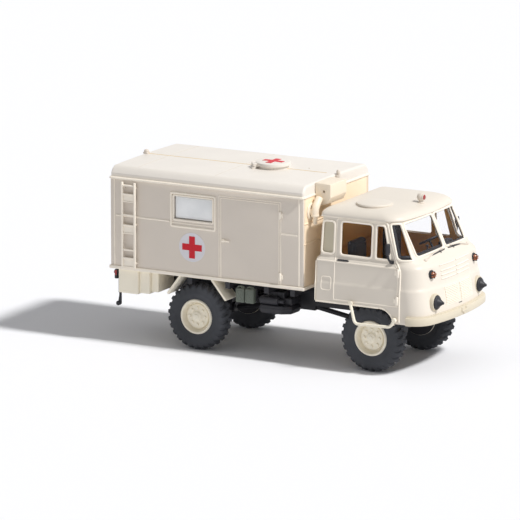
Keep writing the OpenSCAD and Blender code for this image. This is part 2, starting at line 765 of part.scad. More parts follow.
// Round seats for the lamps, cut to the cab's surface.
module lamp_seat(y, z, r, x0, x1) {
    difference() {
        bar_x(y, z, r, x0, x1);
        skin(cab_sections, -0.02);
    }
}
lamp_x1 = front_x - 0.7;
module headlamps() {
    color(ivory) both_sides() lamp_seat(lamp_y, lamp_z, lamp_ring_r, front_x - 2.6, lamp_x1);
}

module blackout_covers() {
    color(soot) both_sides() translate([lamp_x1, lamp_y, lamp_z]) rotate([0, 90, 0]) {
        cylinder(r = cover_r, h = 0.4);
        translate([0, 0, 0.4]) cylinder(r1 = cover_r * 0.8, r2 = 0.35, h = 0.8);
        translate([0, 0, 1.2]) cylinder(r = 0.35, h = 0.35);
    }
}

signal_z = 18;
module turn_signals() {
    color([0.8, 0.35, 0.08]) both_sides() {
        lamp_seat(8.05, signal_z, 0.75, front_x - 2.6, front_x - 1.25);
        translate([front_x - 1.25, 8.05, signal_z]) rotate([0, 90, 0]) cylinder(r1 = 0.6, r2 = 0.35, h = 0.35);
    }
}

mirror_x = 24.4;
module door_mirrors() {
    color(soot) both_sides() {
        block([mirror_x - 0.2, 12.6, 21.7], [mirror_x + 0.2, 13.7, 23.7]);
        bar_y(mirror_x, 21.4, 0.2, 12.3, 13.2);
        translate([mirror_x, 12.4, 20]) cylinder(r = 0.2, h = 1.5);
        bar_y(mirror_x, 20, 0.2, 11.76, 12.5);
        translate([mirror_x, 13.1, 21.3]) cylinder(r = 0.2, h = 0.6);
    }
}

step_y = 12.95;
step_r = 0.26;
step_low = 8.85;
step_rear = 17.3;
step_front = 25.1;
module cab_steps() {
    color(bone) both_sides() {
        bar_x(step_y, step_low, step_r, step_rear, step_front);
        for (post = [[step_rear, 12.4], [step_front, 10.4]]) {
            translate([post[0], step_y, step_low]) cylinder(r = step_r, h = post[1] - step_low);
            translate([post[0], step_y, step_low]) sphere(r = step_r);
            translate([post[0], step_y, post[1]]) sphere(r = step_r * 1.3);
            bar_y(post[0], post[1], step_r, cab_y + 0.02, step_y);
        }
    }
}

frame_rails();
frame_crossmembers();
long_bearers();
cross_bearers();
cab_mounts();
axle_housing(front_axle_x, front_diff_y);  // front_axle_housing
axle_housing(rear_axle_x, 0);  // rear_axle_housing
leaf_springs();
engine_gearbox();
transfer_case();
fuel_tank();
exhaust_silencer();
jerry_cans();
tow_coupling();
support_legs();
tail_lamps();
wheel_arch_liners();
shelter_floor();
shelter_right_wall();
shelter_left_wall();
shelter_front_wall();
shelter_rear_wall();
shelter_roof();
shelter_windows();
side_ladder();
heater_hood();
vent_elbow();
shelter_hatch();
marker_lamps();
rear_lockers();
rear_mudguards();
cab_shell();
cab_glazing();
cab_floor();
cab_seats();
dashboard();
steering_wheel();
cab_hatch();
roof_beacon();
front_bumper();
headlamps();
blackout_covers();
turn_signals();
door_mirrors();
cab_steps();
axle_shaft(front_axle_x);  // front_axle_shaft
tyres(front_axle_x);  // front_tyres
rims(front_axle_x);  // front_rims
axle_shaft(rear_axle_x);  // rear_axle_shaft
tyres(rear_axle_x);  // rear_tyres
rims(rear_axle_x);  // rear_rims
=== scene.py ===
import bmesh
import bpy
import numpy as np
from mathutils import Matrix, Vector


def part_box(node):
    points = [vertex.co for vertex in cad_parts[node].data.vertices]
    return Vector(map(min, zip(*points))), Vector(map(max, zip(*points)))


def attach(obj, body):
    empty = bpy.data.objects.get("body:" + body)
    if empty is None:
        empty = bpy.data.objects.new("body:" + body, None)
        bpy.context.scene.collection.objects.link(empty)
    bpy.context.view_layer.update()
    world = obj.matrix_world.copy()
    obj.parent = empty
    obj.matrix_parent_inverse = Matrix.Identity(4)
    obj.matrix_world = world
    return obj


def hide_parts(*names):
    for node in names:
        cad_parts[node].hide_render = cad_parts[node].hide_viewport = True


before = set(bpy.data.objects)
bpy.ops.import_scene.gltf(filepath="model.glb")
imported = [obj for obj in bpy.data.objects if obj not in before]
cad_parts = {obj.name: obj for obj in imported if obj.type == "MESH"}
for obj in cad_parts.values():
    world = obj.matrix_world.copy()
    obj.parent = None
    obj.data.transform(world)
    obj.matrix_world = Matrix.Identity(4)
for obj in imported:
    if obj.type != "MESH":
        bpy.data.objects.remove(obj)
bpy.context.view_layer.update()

# ---- Table top, lamps and camera ----
# The model stands on a plain white table. One soft lamp ahead of it throws the shadow back along the table, a pale
# sky and the table itself fill the shaded side, and a long lens looks down on the right front corner.
look_az, look_el, lens_reach, lens_mm = np.radians(28.86), np.radians(12.42), 1.01413, 397.2
aim_height, aim_aside, aim_up = 0.014, -0.00702, 0.001766
forward = np.array([-np.sin(look_az) * np.cos(look_el), np.cos(look_az) * np.cos(look_el), -np.sin(look_el)])
sideways = np.array([np.cos(look_az), np.sin(look_az), 0])
upward = np.cross(sideways, forward)
aim = np.array([0, 0, aim_height]) + aim_aside * sideways + aim_up * upward
camera_data = bpy.data.cameras.new("camera")
camera_data.lens, camera_data.sensor_width = lens_mm, 36
camera_data.clip_start, camera_data.clip_end = 0.1, 20
camera = bpy.data.objects.new("camera", camera_data)
camera.location = aim - forward * lens_reach
camera.rotation_euler = (np.pi / 2 - look_el, 0, look_az)
scene = bpy.context.scene
scene.collection.objects.link(camera)
scene.camera = camera
scene.view_settings.view_transform = "Standard"

# The lamp stands straight ahead of the model: it is tipped forwards from the vertical, in the plane of its length.
key_place, key_spread, key_strength = (0.86, 0.0, 1.0), np.radians(6), 3.05
key_data = bpy.data.lights.new("key_lamp", "SUN")
key_data.angle, key_data.energy, key_data.color = key_spread, key_strength, (1, 0.995, 0.99)
key_lamp = bpy.data.objects.new("key_lamp", key_data)
key_lamp.location = key_place
key_lamp.rotation_euler = (np.arctan2(key_place[0], key_place[2]), 0, np.pi / 2)
scene.collection.objects.link(key_lamp)


def node(tree, kind, sockets, **settings):
    """A new shader node: each named setting is set, and each socket is set to a value or linked to an output."""
    made = tree.nodes.new("ShaderNode" + kind)
    for setting, value in settings.items():
        setattr(made, setting, value)
    for socket, value in sockets.items():
        if isinstance(value, bpy.types.NodeSocket):
            tree.links.new(value, made.inputs[socket])
        else:
            made.inputs[socket].default_value = value
    return made


# The sky gives the light of its strength, and the camera, glass and mirrors see it as white.
sky_strength, sky_tint = 0.37, (0.98, 0.985, 1, 1)
world = bpy.data.worlds.new("studio")
scene.world = world
world.use_nodes = True
sky = world.node_tree
sky.nodes.clear()
ray = node(sky, "LightPath", {}).outputs
seen = node(sky, "Math", {0: ray["Is Camera Ray"], 1: ray["Is Transmission Ray"]}, operation="MAXIMUM")
seen = node(sky, "Math", {0: seen.outputs[0], 1: ray["Is Glossy Ray"]}, operation="MAXIMUM")
level = node(sky, "Math", {0: seen.outputs[0], 1: 1 - sky_strength, 2: sky_strength}, operation="MULTIPLY_ADD")
backdrop = node(sky, "Background", {"Color": sky_tint, "Strength": level.outputs[0]})
node(sky, "OutputWorld", {"Surface": backdrop.outputs[0]})


def joined(*patches):
    """Several (points, faces) patches made one: each patch's corner numbers are raised by the points before it."""
    points, faces, start = [], [], 0
    for p, f in patches:
        points.append(np.asarray(p, float).reshape(-1, 3))
        faces += [np.asarray(one) + start for one in f]
        start += len(points[-1])
    return np.concatenate(points), faces


def grid(p, around=False, along=False):
    """Four-cornered faces over an (m, n, 3) array of points; around closes its second way, along its first."""
    m, n = p.shape[:2]
    i, j = np.meshgrid(np.arange(m if along else m - 1), np.arange(n if around else n - 1), indexing="ij")
    k, l = (i + 1) % m, (j + 1) % n
    quads = np.stack([i * n + j, i * n + l, k * n + l, k * n + j], -1).reshape(-1, 4)
    return p.reshape(-1, 3), [quads]


def mesh(name, patch, weld=0.0005):
    """Puts a patch in millimetres into a mesh in metres. Doubled points become one, and a face that has lost a
    corner by that becomes a triangle, or goes if it has lost two."""
    points, faces = patch
    _, first, back = np.unique(np.round(points / weld).astype(np.int64), axis=0, return_index=True,
                               return_inverse=True)
    rows = []
    for f in faces:
        corners = back.reshape(-1)[f]
        doubled = corners == np.roll(corners, -1, 1)
        lost = doubled.sum(1)
        rows += corners[lost == 0].tolist()
        if corners.shape[1] == 4:
            rows += corners[lost == 1][~doubled[lost == 1]].reshape(-1, 3).tolist()
    data = bpy.data.meshes.new(name)
    data.from_pydata((points[first] / 1000).tolist(), [], rows)
    data.validate()
    obj = bpy.data.objects.new(name, data)
    scene.collection.objects.link(obj)
    return obj


def outwards(obj, crease=35):
    """Turns every face outwards, then smooths the shading between faces that meet at under the crease's degrees."""
    work = bmesh.new()
    work.from_mesh(obj.data)
    bmesh.ops.recalc_face_normals(work, faces=work.faces)
    work.to_mesh(obj.data)
    work.free()
    obj.data.shade_smooth()
    obj.data.set_sharp_from_angle(angle=np.radians(crease))
    return obj


def noisy(name, slot):
    """A new material with its Principled shader and its Object coordinates; it remembers the slot it stands for."""
    finish = bpy.data.materials.new(name)
    finish.use_nodes = True
    finish["slot"] = slot
    tree = finish.node_tree
    return finish, tree, tree.nodes["Principled BSDF"], tree.nodes.new("ShaderNodeTexCoord").outputs["Object"]


def noise(tree, place, scale, detail):
    """A noise texture on Object coordinates: its value drifts once in about 1/scale of a metre."""
    return node(tree, "TexNoise", {"Vector": place, "Scale": scale, "Detail": detail}).outputs["Fac"]


def ranged(tree, value, low, high, socket):
    """Feeds a socket with the value moved from the range 0 to 1 to the range from low to high."""
    made = node(tree, "MapRange", {"Value": value, "To Min": low, "To Max": high})
    tree.links.new(made.outputs["Result"], socket)


def toned(tree, value, low, high, socket):
    """Feeds a socket with a colour that goes from low to high over the middle of the value's range."""
    made = node(tree, "ValToRGB", {"Fac": value})
    for stop, colour, place in zip(made.color_ramp.elements, (low, high), (0.3, 0.7)):
        stop.color, stop.position = (*np.clip(colour, 0, 1), 1), place
    tree.links.new(made.outputs["Color"], socket)


def raised(tree, value, strength, distance, shade):
    """Turns a value into a bump of the distance, in metres, on the shader's normal."""
    made = node(tree, "Bump", {"Height": value, "Strength": strength, "Distance": distance})
    tree.links.new(made.outputs["Normal"], shade.inputs["Normal"])


def table_finish():
    """White card: lit it is pure white, and in shadow it turns a cool grey."""
    finish, tree, shade, place = noisy("white_table", "")
    ranged(tree, noise(tree, place, 900, 2), 0.75, 0.85, shade.inputs["Roughness"])
    shade.inputs["Base Color"].default_value = (0.905, 0.908, 0.93, 1)
    shade.inputs["Specular IOR Level"].default_value = 0.1
    return finish


table_half, table_rows = 3000, 9
reach = np.linspace(-table_half, table_half, table_rows)
table = mesh("table_top", grid(np.stack([*np.meshgrid(reach, reach), np.zeros((table_rows, table_rows))], -1)))
table.data.materials.append(table_finish())


# ---- Chassis, axles and what hangs under the floor ----
# Black styrene mouldings, clipped together: ladder frame, bearers, axles on leaf springs, engine block and shafts.
# Their shapes are the frame's own, and only the moulded surface is added.
def plastic(name, slot, colour, rough=0.42, mottle=0.04, grain=0.12, gloss=0.35):
    """Moulded styrene: a colour that drifts a few hundredths, slow flow marks, a fine tool grain and soft gloss."""
    finish, tree, shade, place = noisy(name, slot)
    colour = np.array(colour)
    toned(tree, noise(tree, place, 160, 4), colour * (1 - mottle), colour * (1 + mottle), shade.inputs["Base Color"])
    fine = noise(tree, place, 5200, 3)
    ranged(tree, fine, rough - 0.08, rough + 0.08, shade.inputs["Roughness"])
    raised(tree, fine, grain, 0.00002, shade)
    shade.inputs["Specular IOR Level"].default_value = gloss
    return finish


def coat(finish, *names):
    """Gives CAD nodes that keep their shape a finish of this script."""
    for name in names:
        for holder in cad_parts[name].material_slots:
            holder.material = finish


soot = plastic("black_styrene", "black_plastic", (0.024, 0.024, 0.029), rough=0.5, mottle=0.25)
steel = plastic("drawn_steel", "steel_shaft", (0.5, 0.5, 0.52), rough=0.3, grain=0.3)
steel.node_tree.nodes["Principled BSDF"].inputs["Metallic"].default_value = 1
coat(soot, "frame_rails", "frame_crossmembers", "long_bearers", "cross_bearers", "cab_mounts", "front_axle_housing",
     "rear_axle_housing", "leaf_springs", "engine_gearbox", "transfer_case", "tow_coupling", "wheel_arch_liners")
coat(steel, "front_axle_shaft", "rear_axle_shaft")


def cad(name):
    """A CAD node's lowest and highest corners, in millimetres."""
    return [np.array(corner) * 1000 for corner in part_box(name)]


def capped(rings):
    """A closed solid over rings of points: the rings joined in turn, with a fan of triangles over each end."""
    m, n = rings.shape[:2]
    skin = grid(rings, around=True)
    i = np.arange(n)
    fans = [np.stack([row * n + i, row * n + (i + 1) % n, np.full(n, m * n + middle)], -1)
            for row, middle in ((0, 0), (m - 1, 1))]
    return np.concatenate([skin[0], rings[[0, -1]].mean(1)]), skin[1] + fans


def block(low, high, r=0.12, n=3):
    """A box with every edge rounded. Each ring is a rectangle whose corners are quarter circles; near both ends the
    circles' radius is r times the sine, and the height r times one less the cosine, of an angle up to 90 degrees."""
    low, high = np.minimum(low, high).astype(float), np.maximum(low, high).astype(float)
    r = min(r, *((high - low) * 0.49))
    turn = (np.arange(4)[:, None] * np.pi / 2 + np.linspace(0, np.pi / 2, n + 1)).reshape(-1)
    middle = np.repeat([[high[0] - r, high[1] - r], [low[0] + r, high[1] - r],
                        [low[0] + r, low[1] + r], [high[0] - r, low[1] + r]], n + 1, 0)
    a = np.linspace(0, np.pi / 2, n + 1)
    radius = r * np.r_[np.sin(a), np.sin(a[::-1])]
    z = np.r_[low[2] + r * (1 - np.cos(a)), high[2] - r * (1 - np.cos(a[::-1]))]
    flat = middle + radius[:, None, None] * np.stack([np.cos(turn), np.sin(turn)], -1)
    return capped(np.concatenate([flat, np.broadcast_to(z[:, None, None], flat.shape[:2] + (1,))], -1))


def placed(patch, move=(0, 0, 0), about=(0, 0, 1), degrees=0, pivot=(0, 0, 0)):
    """A patch turned about an axis through a pivot and then moved: Rodrigues' formula on all points at once."""
    p, axis = np.asarray(patch[0], float) - pivot, np.array(about, float) / np.linalg.norm(about)
    c, s = np.cos(np.radians(degrees)), np.sin(np.radians(degrees))
    p = p * c + np.cross(axis, p) * s + np.outer(p @ axis, axis) * (1 - c)
    return p + pivot + move, patch[1]


def both(*patches):
    """The same patches on the left and on the right: a copy with every y negated is joined to them."""
    one = joined(*patches)
    return joined(one, (one[0] * [1, -1, 1], one[1]))


def spun(profile, centre, axis, sides=36):
    """A solid of revolution: (radius, place) pairs spun about a unit axis through the centre."""
    r, s = np.array(profile, float).T
    axis = np.array(axis, float)
    u = np.cross(axis, [0.3, 0.4, 0.87]) if abs(axis[2]) < 0.9 else np.array([1.0, 0, 0])
    u = u / np.linalg.norm(u)
    v = np.cross(axis, u)
    t = 2 * np.pi * np.arange(sides) / sides
    rings = s[:, None, None] * axis + r[:, None, None] * (np.cos(t)[:, None] * u + np.sin(t)[:, None] * v)
    return capped(rings + centre)


def bent(points, cut, closed=False, n=5):
    """A path through corners: each corner is eased by a parabola from cut before it to cut after it."""
    p = np.array(points, float)
    back, on = np.roll(p, 1, 0) - p, np.roll(p, -1, 0) - p
    back /= np.linalg.norm(back, axis=1)[:, None]
    on /= np.linalg.norm(on, axis=1)[:, None]
    t = np.linspace(0, 1, n + 1)[:, None]
    eased = (1 - t) ** 2 * (p + back * cut)[:, None] + 2 * t * (1 - t) * p[:, None] + t ** 2 * (p + on * cut)[:, None]
    if closed:
        return eased.reshape(-1, p.shape[1])
    return np.concatenate([p[:1], eased[1:-1].reshape(-1, p.shape[1]), p[-1:]])


def spread(points, step=0.35, closed=False):
    """The same path with points added along its straight runs, about one every step."""
    p = np.asarray(points, float)
    nxt = np.roll(p, -1, 0)
    count = np.maximum(1, np.ceil(np.linalg.norm(nxt - p, axis=1) / step)).astype(int)
    if not closed:
        count[-1] = 1
    at = np.repeat(np.arange(len(p)), count)
    part = (np.arange(len(at)) - np.repeat(np.cumsum(count) - count, count))[:, None] / np.repeat(count, count)[:,
                                                                                                                None]
    return p[at] * (1 - part) + nxt[at] * part


def headings(p, closed):
    """Unit directions along a path: the difference between the points on either side of each point."""
    if closed:
        d = np.roll(p, -1, 0) - np.roll(p, 1, 0)
    else:
        d = np.gradient(p, axis=0)
    return d / np.linalg.norm(d, axis=1)[:, None]


def tube(path, r, closed=False, sides=12):
    """A round bar along a path: a circle of radius r square to the path at each of its points. Its first radius is
    square to the axis that the path follows least."""
    p = np.asarray(path, float)
    ahead = headings(p, closed)
    side = np.cross(ahead, np.eye(3)[np.abs(ahead).max(0).argmin()])
    side /= np.linalg.norm(side, axis=1)[:, None]
    over = np.cross(side, ahead)
    t = 2 * np.pi * np.arange(sides) / sides
    r = np.broadcast_to(r, len(p))[:, None, None]
    rings = p[:, None] + r * (np.cos(t)[:, None] * side[:, None] + np.sin(t)[:, None] * over[:, None])
    return grid(rings, around=True, along=True) if closed else capped(rings)


def bead(path, out, width, height, closed=False, sink=0.1, n=6):
    """A moulded half-round line on a surface: across the path it is half an ellipse of the width and height,
    standing on a foot sunk a little into the surface; out is the surface's outward direction."""
    p = np.asarray(path, float)
    out = np.broadcast_to(np.asarray(out, float), p.shape)
    side = np.cross(headings(p, closed), out)
    side /= np.linalg.norm(side, axis=1)[:, None]
    t = np.linspace(0, np.pi, n + 1)
    u = np.r_[width / 2, width / 2 * np.cos(t), -width / 2]
    v = np.r_[-sink, height * np.sin(t), -sink]
    rings = p[:, None] + u[:, None] * side[:, None] + v[:, None] * out[:, None]
    return grid(rings, around=True, along=True) if closed else capped(rings)


def line(start, end, out, width, height, step=0.35):
    """A straight bead from one point to another."""
    return bead(spread([start, end], step), out, width, height)


def fitted(obj, finish, *stands_for, body="truck"):
    """Gives a piece its finish and that finish's slot; it rides on a body and may stand for CAD nodes."""
    obj.data.materials.append(finish)
    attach(obj, body)
    if stands_for:
        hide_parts(*stands_for)


def piece(name, patches, finish, *stands_for, body="truck", crease=35):
    """Makes a fitted piece of one patch, or of a list of patches joined together."""
    patch = joined(*patches) if isinstance(patches, list) else patches
    fitted(outwards(mesh(name, patch), crease), finish, *stands_for, body=body)


# Tank: two pressed trays with a flange between them, on a black box with three ribs; the silencer lies on its shelf.
tank_plan = [(-2.4, -6.3), (-2.4, -11), (2.3, -11), (4, -9.6), (4, -6.3)]


def tray(plan, levels_in, cut=0.35):
    """A pressed tray: the same rounded plan at each (height, inset) pair, drawn towards its middle by the inset."""
    plan = bent(plan, cut, closed=True)
    middle = plan.mean(0)
    away = plan - middle
    far = np.linalg.norm(away, axis=1)[:, None]
    rings = [np.insert(middle + away * (1 - inset / far), 2, z, 1) for z, inset in levels_in]
    return capped(np.stack(rings))


box_face = -9.2
tank = [tray(tank_plan, [(8.2, 0.9), (8.24, 0.6), (8.45, 0.35), (9.0, 0.14), (9.05, 0.1)]),
        tray(tank_plan, [(9.04, 0.12), (9.05, 0.02), (9.12, 0), (9.18, 0.02), (9.2, 0.12)]),
        tray(tank_plan, [(9.19, 0.14), (9.55, 0.3), (9.66, 0.45), (9.7, 0.8)]),
        block((-1.9, box_face, 9.65), (3.4, -6.2, 10.9), 0.15), block((-1, box_face, 10.8), (1.9, -6.2, 11.9), 0.1),
        block((-0.6, -6.3, 9.6), (1.6, -4.65, 10.45), 0.05)]
tank += [line((x, box_face, 10.0), (x, box_face, 11.8), (0, -1, 0), 0.16, 0.09, 0.4) for x in (-0.5, 0.45, 1.4)]
tank += [line((x, -9.3, 9.68), (x, -10.6, 9.68), (0, 0, 1), 0.25, 0.06, 0.4) for x in (-1.6, 2.2)]
piece("fuel_tank_trays", tank, soot, "fuel_tank")
drum = [(0, -2.3), (0.55, -2.3), (0.68, -2.22), (0.75, -2.1), (0.75, -1.9), (0.71, -1.86), (0.71, -1.5),
        (0.75, -1.46),
        (0.75, 0.95), (0.71, 1.0), (0.71, 1.2), (0.66, 1.32), (0.4, 1.38), (0.35, 1.45), (0.35, 2.35), (0.25, 2.4),
        (0, 2.4)]
piece("exhaust_silencer_drum", spun(drum, (0, -10.1, 10.45), (1, 0, 0)), soot, "exhaust_silencer")


# ---- Fuel cans ----
# Two green cans in a black tray behind the tank. Each has a pressed cross on its face, three carrying bars
# and a spout cap on its shoulder.
olive = plastic("green_styrene", "green_plastic", (0.145, 0.165, 0.138), rough=0.6, mottle=0.1)
can_low, can_high = cad("jerry_cans")
can_w, can_y, can_base, can_top = 1.75, -11.0, 9.6, 12.2
cans, straps = [], []
for can_x in (can_low[0] + 0.1, can_low[0] + 2.0):
    cans.append(block((can_x, can_y, can_base), (can_x + can_w, can_y + 1.2, can_top), 0.28, 4))
    x0, x1, z0, z1 = can_x + 0.3, can_x + can_w - 0.3, can_base + 0.35, can_top - 0.5
    edge = spread(bent([(x0, z0), (x1, z0), (x1, z1), (x0, z1)], 0.25, closed=True), 0.3, closed=True)
    cans.append(bead(np.insert(edge, 1, can_y, 1), (0, -1, 0), 0.14, 0.05, closed=True))
    cans += [line((x0, can_y, a), (x1, can_y, b), (0, -1, 0), 0.13, 0.05, 0.4) for a, b in ((z0, z1), (z1, z0))]
    for y in (0.3, 0.6, 0.9):
        grip = [(can_x + x, can_y + y, can_top + z) for x, z in ((0.35, -0.1), (0.4, 0.28), (1.15, 0.28), (1.2,
                                                                                                           -0.1))]
        cans.append(tube(bent(grip, 0.12), 0.07, sides=8))
    spout = (can_x + 1.42, can_y + 0.6, can_top - 0.02)
    cans.append(spun([(0, 0), (0.17, 0), (0.17, 0.25), (0.12, 0.33), (0, 0.33)], spout, (0, 0, 1), 14))
    x0, x1 = can_x + 0.78, can_x + 0.98
    straps.append(block((x0, can_y - 0.04, can_base - 0.02), (x1, can_y + 1.3, can_base + 0.08), 0.04))
piece("fuel_cans", cans, olive, "jerry_cans")
straps += [block((can_low[0], can_y + 1.2, can_base), (can_high[0], can_y + 1.7, 12), 0.08),
           block((can_low[0] + 0.9, can_y + 1.7, 9.9), (can_high[0] - 0.9, -4.65, 10.5), 0.08)]
piece("can_tray", straps, soot)


# ---- Rear lockers, mud flaps, legs and tail lamps ----
# Cream lockers behind the rear wheels step inwards towards them, with sloping flaps ahead of and behind each wheel.
# Black drop legs and black lamps with red lenses stand behind them.
bone = plastic("bone_styrene", "bone_plastic", (0.93, 0.865, 0.72), rough=0.45)
floor_low, floor_high = cad("shelter_floor")
rim_out = 0.25
wall_x0, wall_x1, wall_y = floor_low[0] + rim_out, floor_high[0] - rim_out, floor_high[1] - rim_out
under, wall_low = floor_low[2], floor_high[2]
lockers = []
# Each locker's rear end and front end from the rear wall, its outer face and its underside.
for x0, x1, y1, z0 in ((1.3, 5.3, 11.8, 9.0), (5.3, 7.4, 11.35, 9.2), (7.4, 8.9, 10.8, 9.55)):
    x0, x1, rib_z = wall_x0 + x0, wall_x0 + x1, z0 + 0.45
    lockers += [block((x0 - 0.02, 5.0, z0), (x1, y1, under + 0.05), 0.2, 4),
                line((x0 + 0.3, y1, rib_z), (x1 - 0.3, y1, rib_z), (0, 1, 0), 0.1, 0.03)]
piece("rear_lockers_pair", both(*lockers), bone, "rear_lockers")


def near(place, low, high, r=0.12, n=3):
    """A rounded block whose lowest and highest corners are given from a place."""
    return block(np.add(place, low), np.add(place, high), r, n)


def flap(top_x, low_x, y_in, low_z=9.9, half_t=0.22):
    """A sloping plate from under the floor down to its lower edge, as a rounded slab turned to that slope."""
    run, drop = low_x - top_x, under - low_z
    slab = block((0, y_in, -half_t), (np.hypot(run, drop), 12, half_t), 0.1)
    return placed(slab, (top_x, 0, under), (0, 1, 0), np.degrees(np.arctan2(drop, run)))


shaft_r = 0.5
rear_x = cad("rear_axle_shaft")[0][0] + shaft_r
piece("mud_flaps", both(flap(rear_x - 2.5, rear_x - 5.1, 8.4), flap(rear_x + 3.8, rear_x + 6.7, 8.0)), bone,
      "rear_mudguards")
leg_x, leg_y = wall_x0 + 0.65, 10
legs = [block((leg_x - 0.28, leg_y - 0.25, 8.6), (leg_x + 0.28, leg_y + 0.25, under), 0.08),
        near((leg_x, leg_y, 0), (-0.2, -0.18, 6.5), (0.2, 0.18, 8.7), 0.08)]
foot_rim = [(0, 0), (0.3, 0), (0.42, 0.1), (0.42, 0.7), (0.3, 0.8), (0, 0.8)]
brace = bent([(leg_x - 0.1, leg_y, 8.3), (leg_x - 0.3, leg_y - 0.1, 7.5), (leg_x - 0.42, leg_y - 0.1, 6.8)], 0.2)
legs += [spun(foot_rim, (leg_x - 0.35, leg_y - 0.4, 6.62), (0, 1, 0), 20), tube(brace, 0.12, sides=8)]
piece("drop_legs", both(*legs), soot, "support_legs")
lens_red = plastic("red_lens", "red_lens", (0.33, 0.02, 0.02), rough=0.2, gloss=0.6)
lamp_x = leg_x - 0.35
tails = [near((lamp_x, leg_y, 0), (-0.6, -0.5, 11.1), (0, 0.5, 12.8)),
         block((lamp_x - 0.1, leg_y - 0.2, 11.7), (leg_x, leg_y + 0.2, 12.1), 0.05)]
piece("tail_lamp_bodies", both(*tails), soot, "tail_lamps")
dome = np.array([(0, 1), (0.45, 0.9), (0.8, 0.55), (0.95, 0.2), (1, 0), (1, -0.4), (0, -0.4)])
lenses = [spun(dome * [r, proud], (lamp_x - 0.6, leg_y, z), (-1, 0, 0), 20)
          for z, r, proud in ((12.25, 0.38, 0.35), (11.5, 0.28, 0.2))]
lenses.append(near((lamp_x, leg_y, 0), (-0.5, 0.45, 11.75), (-0.1, 0.58, 12.65), 0.06))
piece("tail_lamp_lenses", both(*lenses), lens_red)


# ---- Shelter walls and floor rim ----
# Thin moulded walls clipped round a floor plate that stands proud all round. Beads mark the corner posts, the
# waist rail and the crew door, and the window frames are moulded in two steps.
cream = plastic("cream_styrene", "ivory_plastic", (0.715, 0.645, 0.565), mottle=0.02)
wall_t, wall_top = 0.8, cad("shelter_roof")[0][2]
window_x, window_z, waist_z = -14.7, (23.7, 27.75), 23.13


def wall_line(points, side, width=0.22, height=0.1, closed=False):
    """A bead on the outer face of a side wall, along (length, height) pairs."""
    return bead(np.insert(spread(points, 0.4, closed), 1, side * wall_y, 1), (0, side, 0), width, height, closed)


def frame_loop(x0, x1, z0, z1, cut=0.3):
    """The eased rectangle of a window frame or hatch, as (length, height) pairs."""
    return bent([(x0, z0), (x1, z0), (x1, z1), (x0, z1)], cut, closed=True)


def carve(obj, *patches, crease=35):
    """Cuts closed patches out of a piece's mesh one after the other, and turns its faces outwards again."""
    for patch in patches:
        tool = outwards(mesh("tool", patch))
        cut = obj.modifiers.new("cut", "BOOLEAN")
        cut.operation, cut.solver, cut.object = "DIFFERENCE", "MANIFOLD", tool
        whole = bpy.data.meshes.new_from_object(obj.evaluated_get(bpy.context.evaluated_depsgraph_get()))
        whole.materials.clear()
        obj.modifiers.clear()
        obj.data = whole
        bpy.data.objects.remove(tool)
    outwards(obj, crease)


def side_wall(side, name, cad_wall):
    """One side wall: a slab with its window cut through, a stepped frame round it, and its posts and rails."""
    y0, y1 = side * (wall_y - wall_t), side * wall_y
    wall = outwards(mesh(name, block((wall_x0, y0, wall_low), (wall_x1, y1, wall_top), 0.1)))
    carve(wall, block((window_x - 3.9, side * 10, window_z[0]), (window_x + 3.9, side * 13, window_z[1]), 0.15))
    fitted(wall, cream, cad_wall)
    posts = [wall_line([(x, wall_low + 0.1), (x, wall_top - 0.1)], side) for x in (wall_x0 + 0.8, wall_x1 - 0.85)]
    return posts + [wall_line(frame_loop(-19.15, -10.3, 22.35, 28.35), side, 0.42, 0.24, True),
                    wall_line(frame_loop(-18.72, -10.72, 23.52, 27.92), side, 0.34, 0.15, True),
                    wall_line([(-18.9, 22.98), (-10.55, 22.98)], side, 0.2, 0.1), waist_rail(-30.4, -19.45, side)]


def waist_rail(x0, x1, side):
    """The raised line along a side wall at the height of its windows' sills."""
    return wall_line([(x0, waist_z), (x1, waist_z)], side, 0.32, 0.14)


right = side_wall(-1, "shelter_right_panel", "shelter_right_wall") + [waist_rail(3.0, 6.15, -1)]
left = side_wall(1, "shelter_left_panel", "shelter_left_wall") + [waist_rail(-9.95, 6.15, 1)]
gate_rear, gate_front, gate_top = -9.5, 2.85, 28.7
for inset in (0, 0.36):
    x0, x1, top = gate_rear + inset, gate_front - inset, gate_top - inset
    gate = [(x0, wall_low + 0.02), (x0, top), (x1, top), (x1, wall_low + 0.02)]
    right.append(wall_line(bent(gate, 0.25), -1, 0.15, 0.09))
hinge_heights = (26.4, 15.4)
for z in hinge_heights:
    right += [near((0, -wall_y, z), (2.6, -0.38, -0.7), (3.0, 0.1, 0.7), 0.1),
              near((0, -wall_y, z), (2.8, -0.18, -0.42), (3.3, 0.1, 0.42), 0.08)]
lever = bent([(-8.7, -wall_y, 20.75), (-8.7, -wall_y - 0.42, 20.75), (-7.3, -wall_y - 0.42, 20.7)], 0.15)
right += [block((-8.95, -wall_y - 0.32, 20.45), (-8.45, -wall_y + 0.1, 21.05), 0.1), tube(lever, 0.13, sides=10)]
# This paler cream is painted highlight: beads, lips, rims and the ladder are the walls' cream plastic, lighter where
# their raised edges catch the light.
painted_highlight_cream = plastic("painted_highlight_styrene", "ivory_plastic", (0.93, 0.855, 0.74), mottle=0.02)
piece("shelter_right_trim", right, painted_highlight_cream)
piece("shelter_left_trim", left, painted_highlight_cream)
piece("shelter_floor_rim", block((*floor_low[:2], under), (*floor_high[:2], wall_low), 0.14, 4), painted_highlight_cream,
      "shelter_floor")

# This warmer colour is painted warm light: the orange glow that light bouncing between cab and shelter, and shining
# through the thin plastic, gives the cream front panel.
painted_warm_light_peach = plastic("painted_warm_light_styrene", "ivory_plastic", (0.95, 0.77, 0.56), mottle=0.02)


def end_post(x, y, out):
    """The upright bead beside a corner, on the front or the rear wall."""
    return line((x, y, wall_low + 0.1), (x, y, wall_top - 0.1), (out, 0, 0), 0.2, 0.08, 0.6)


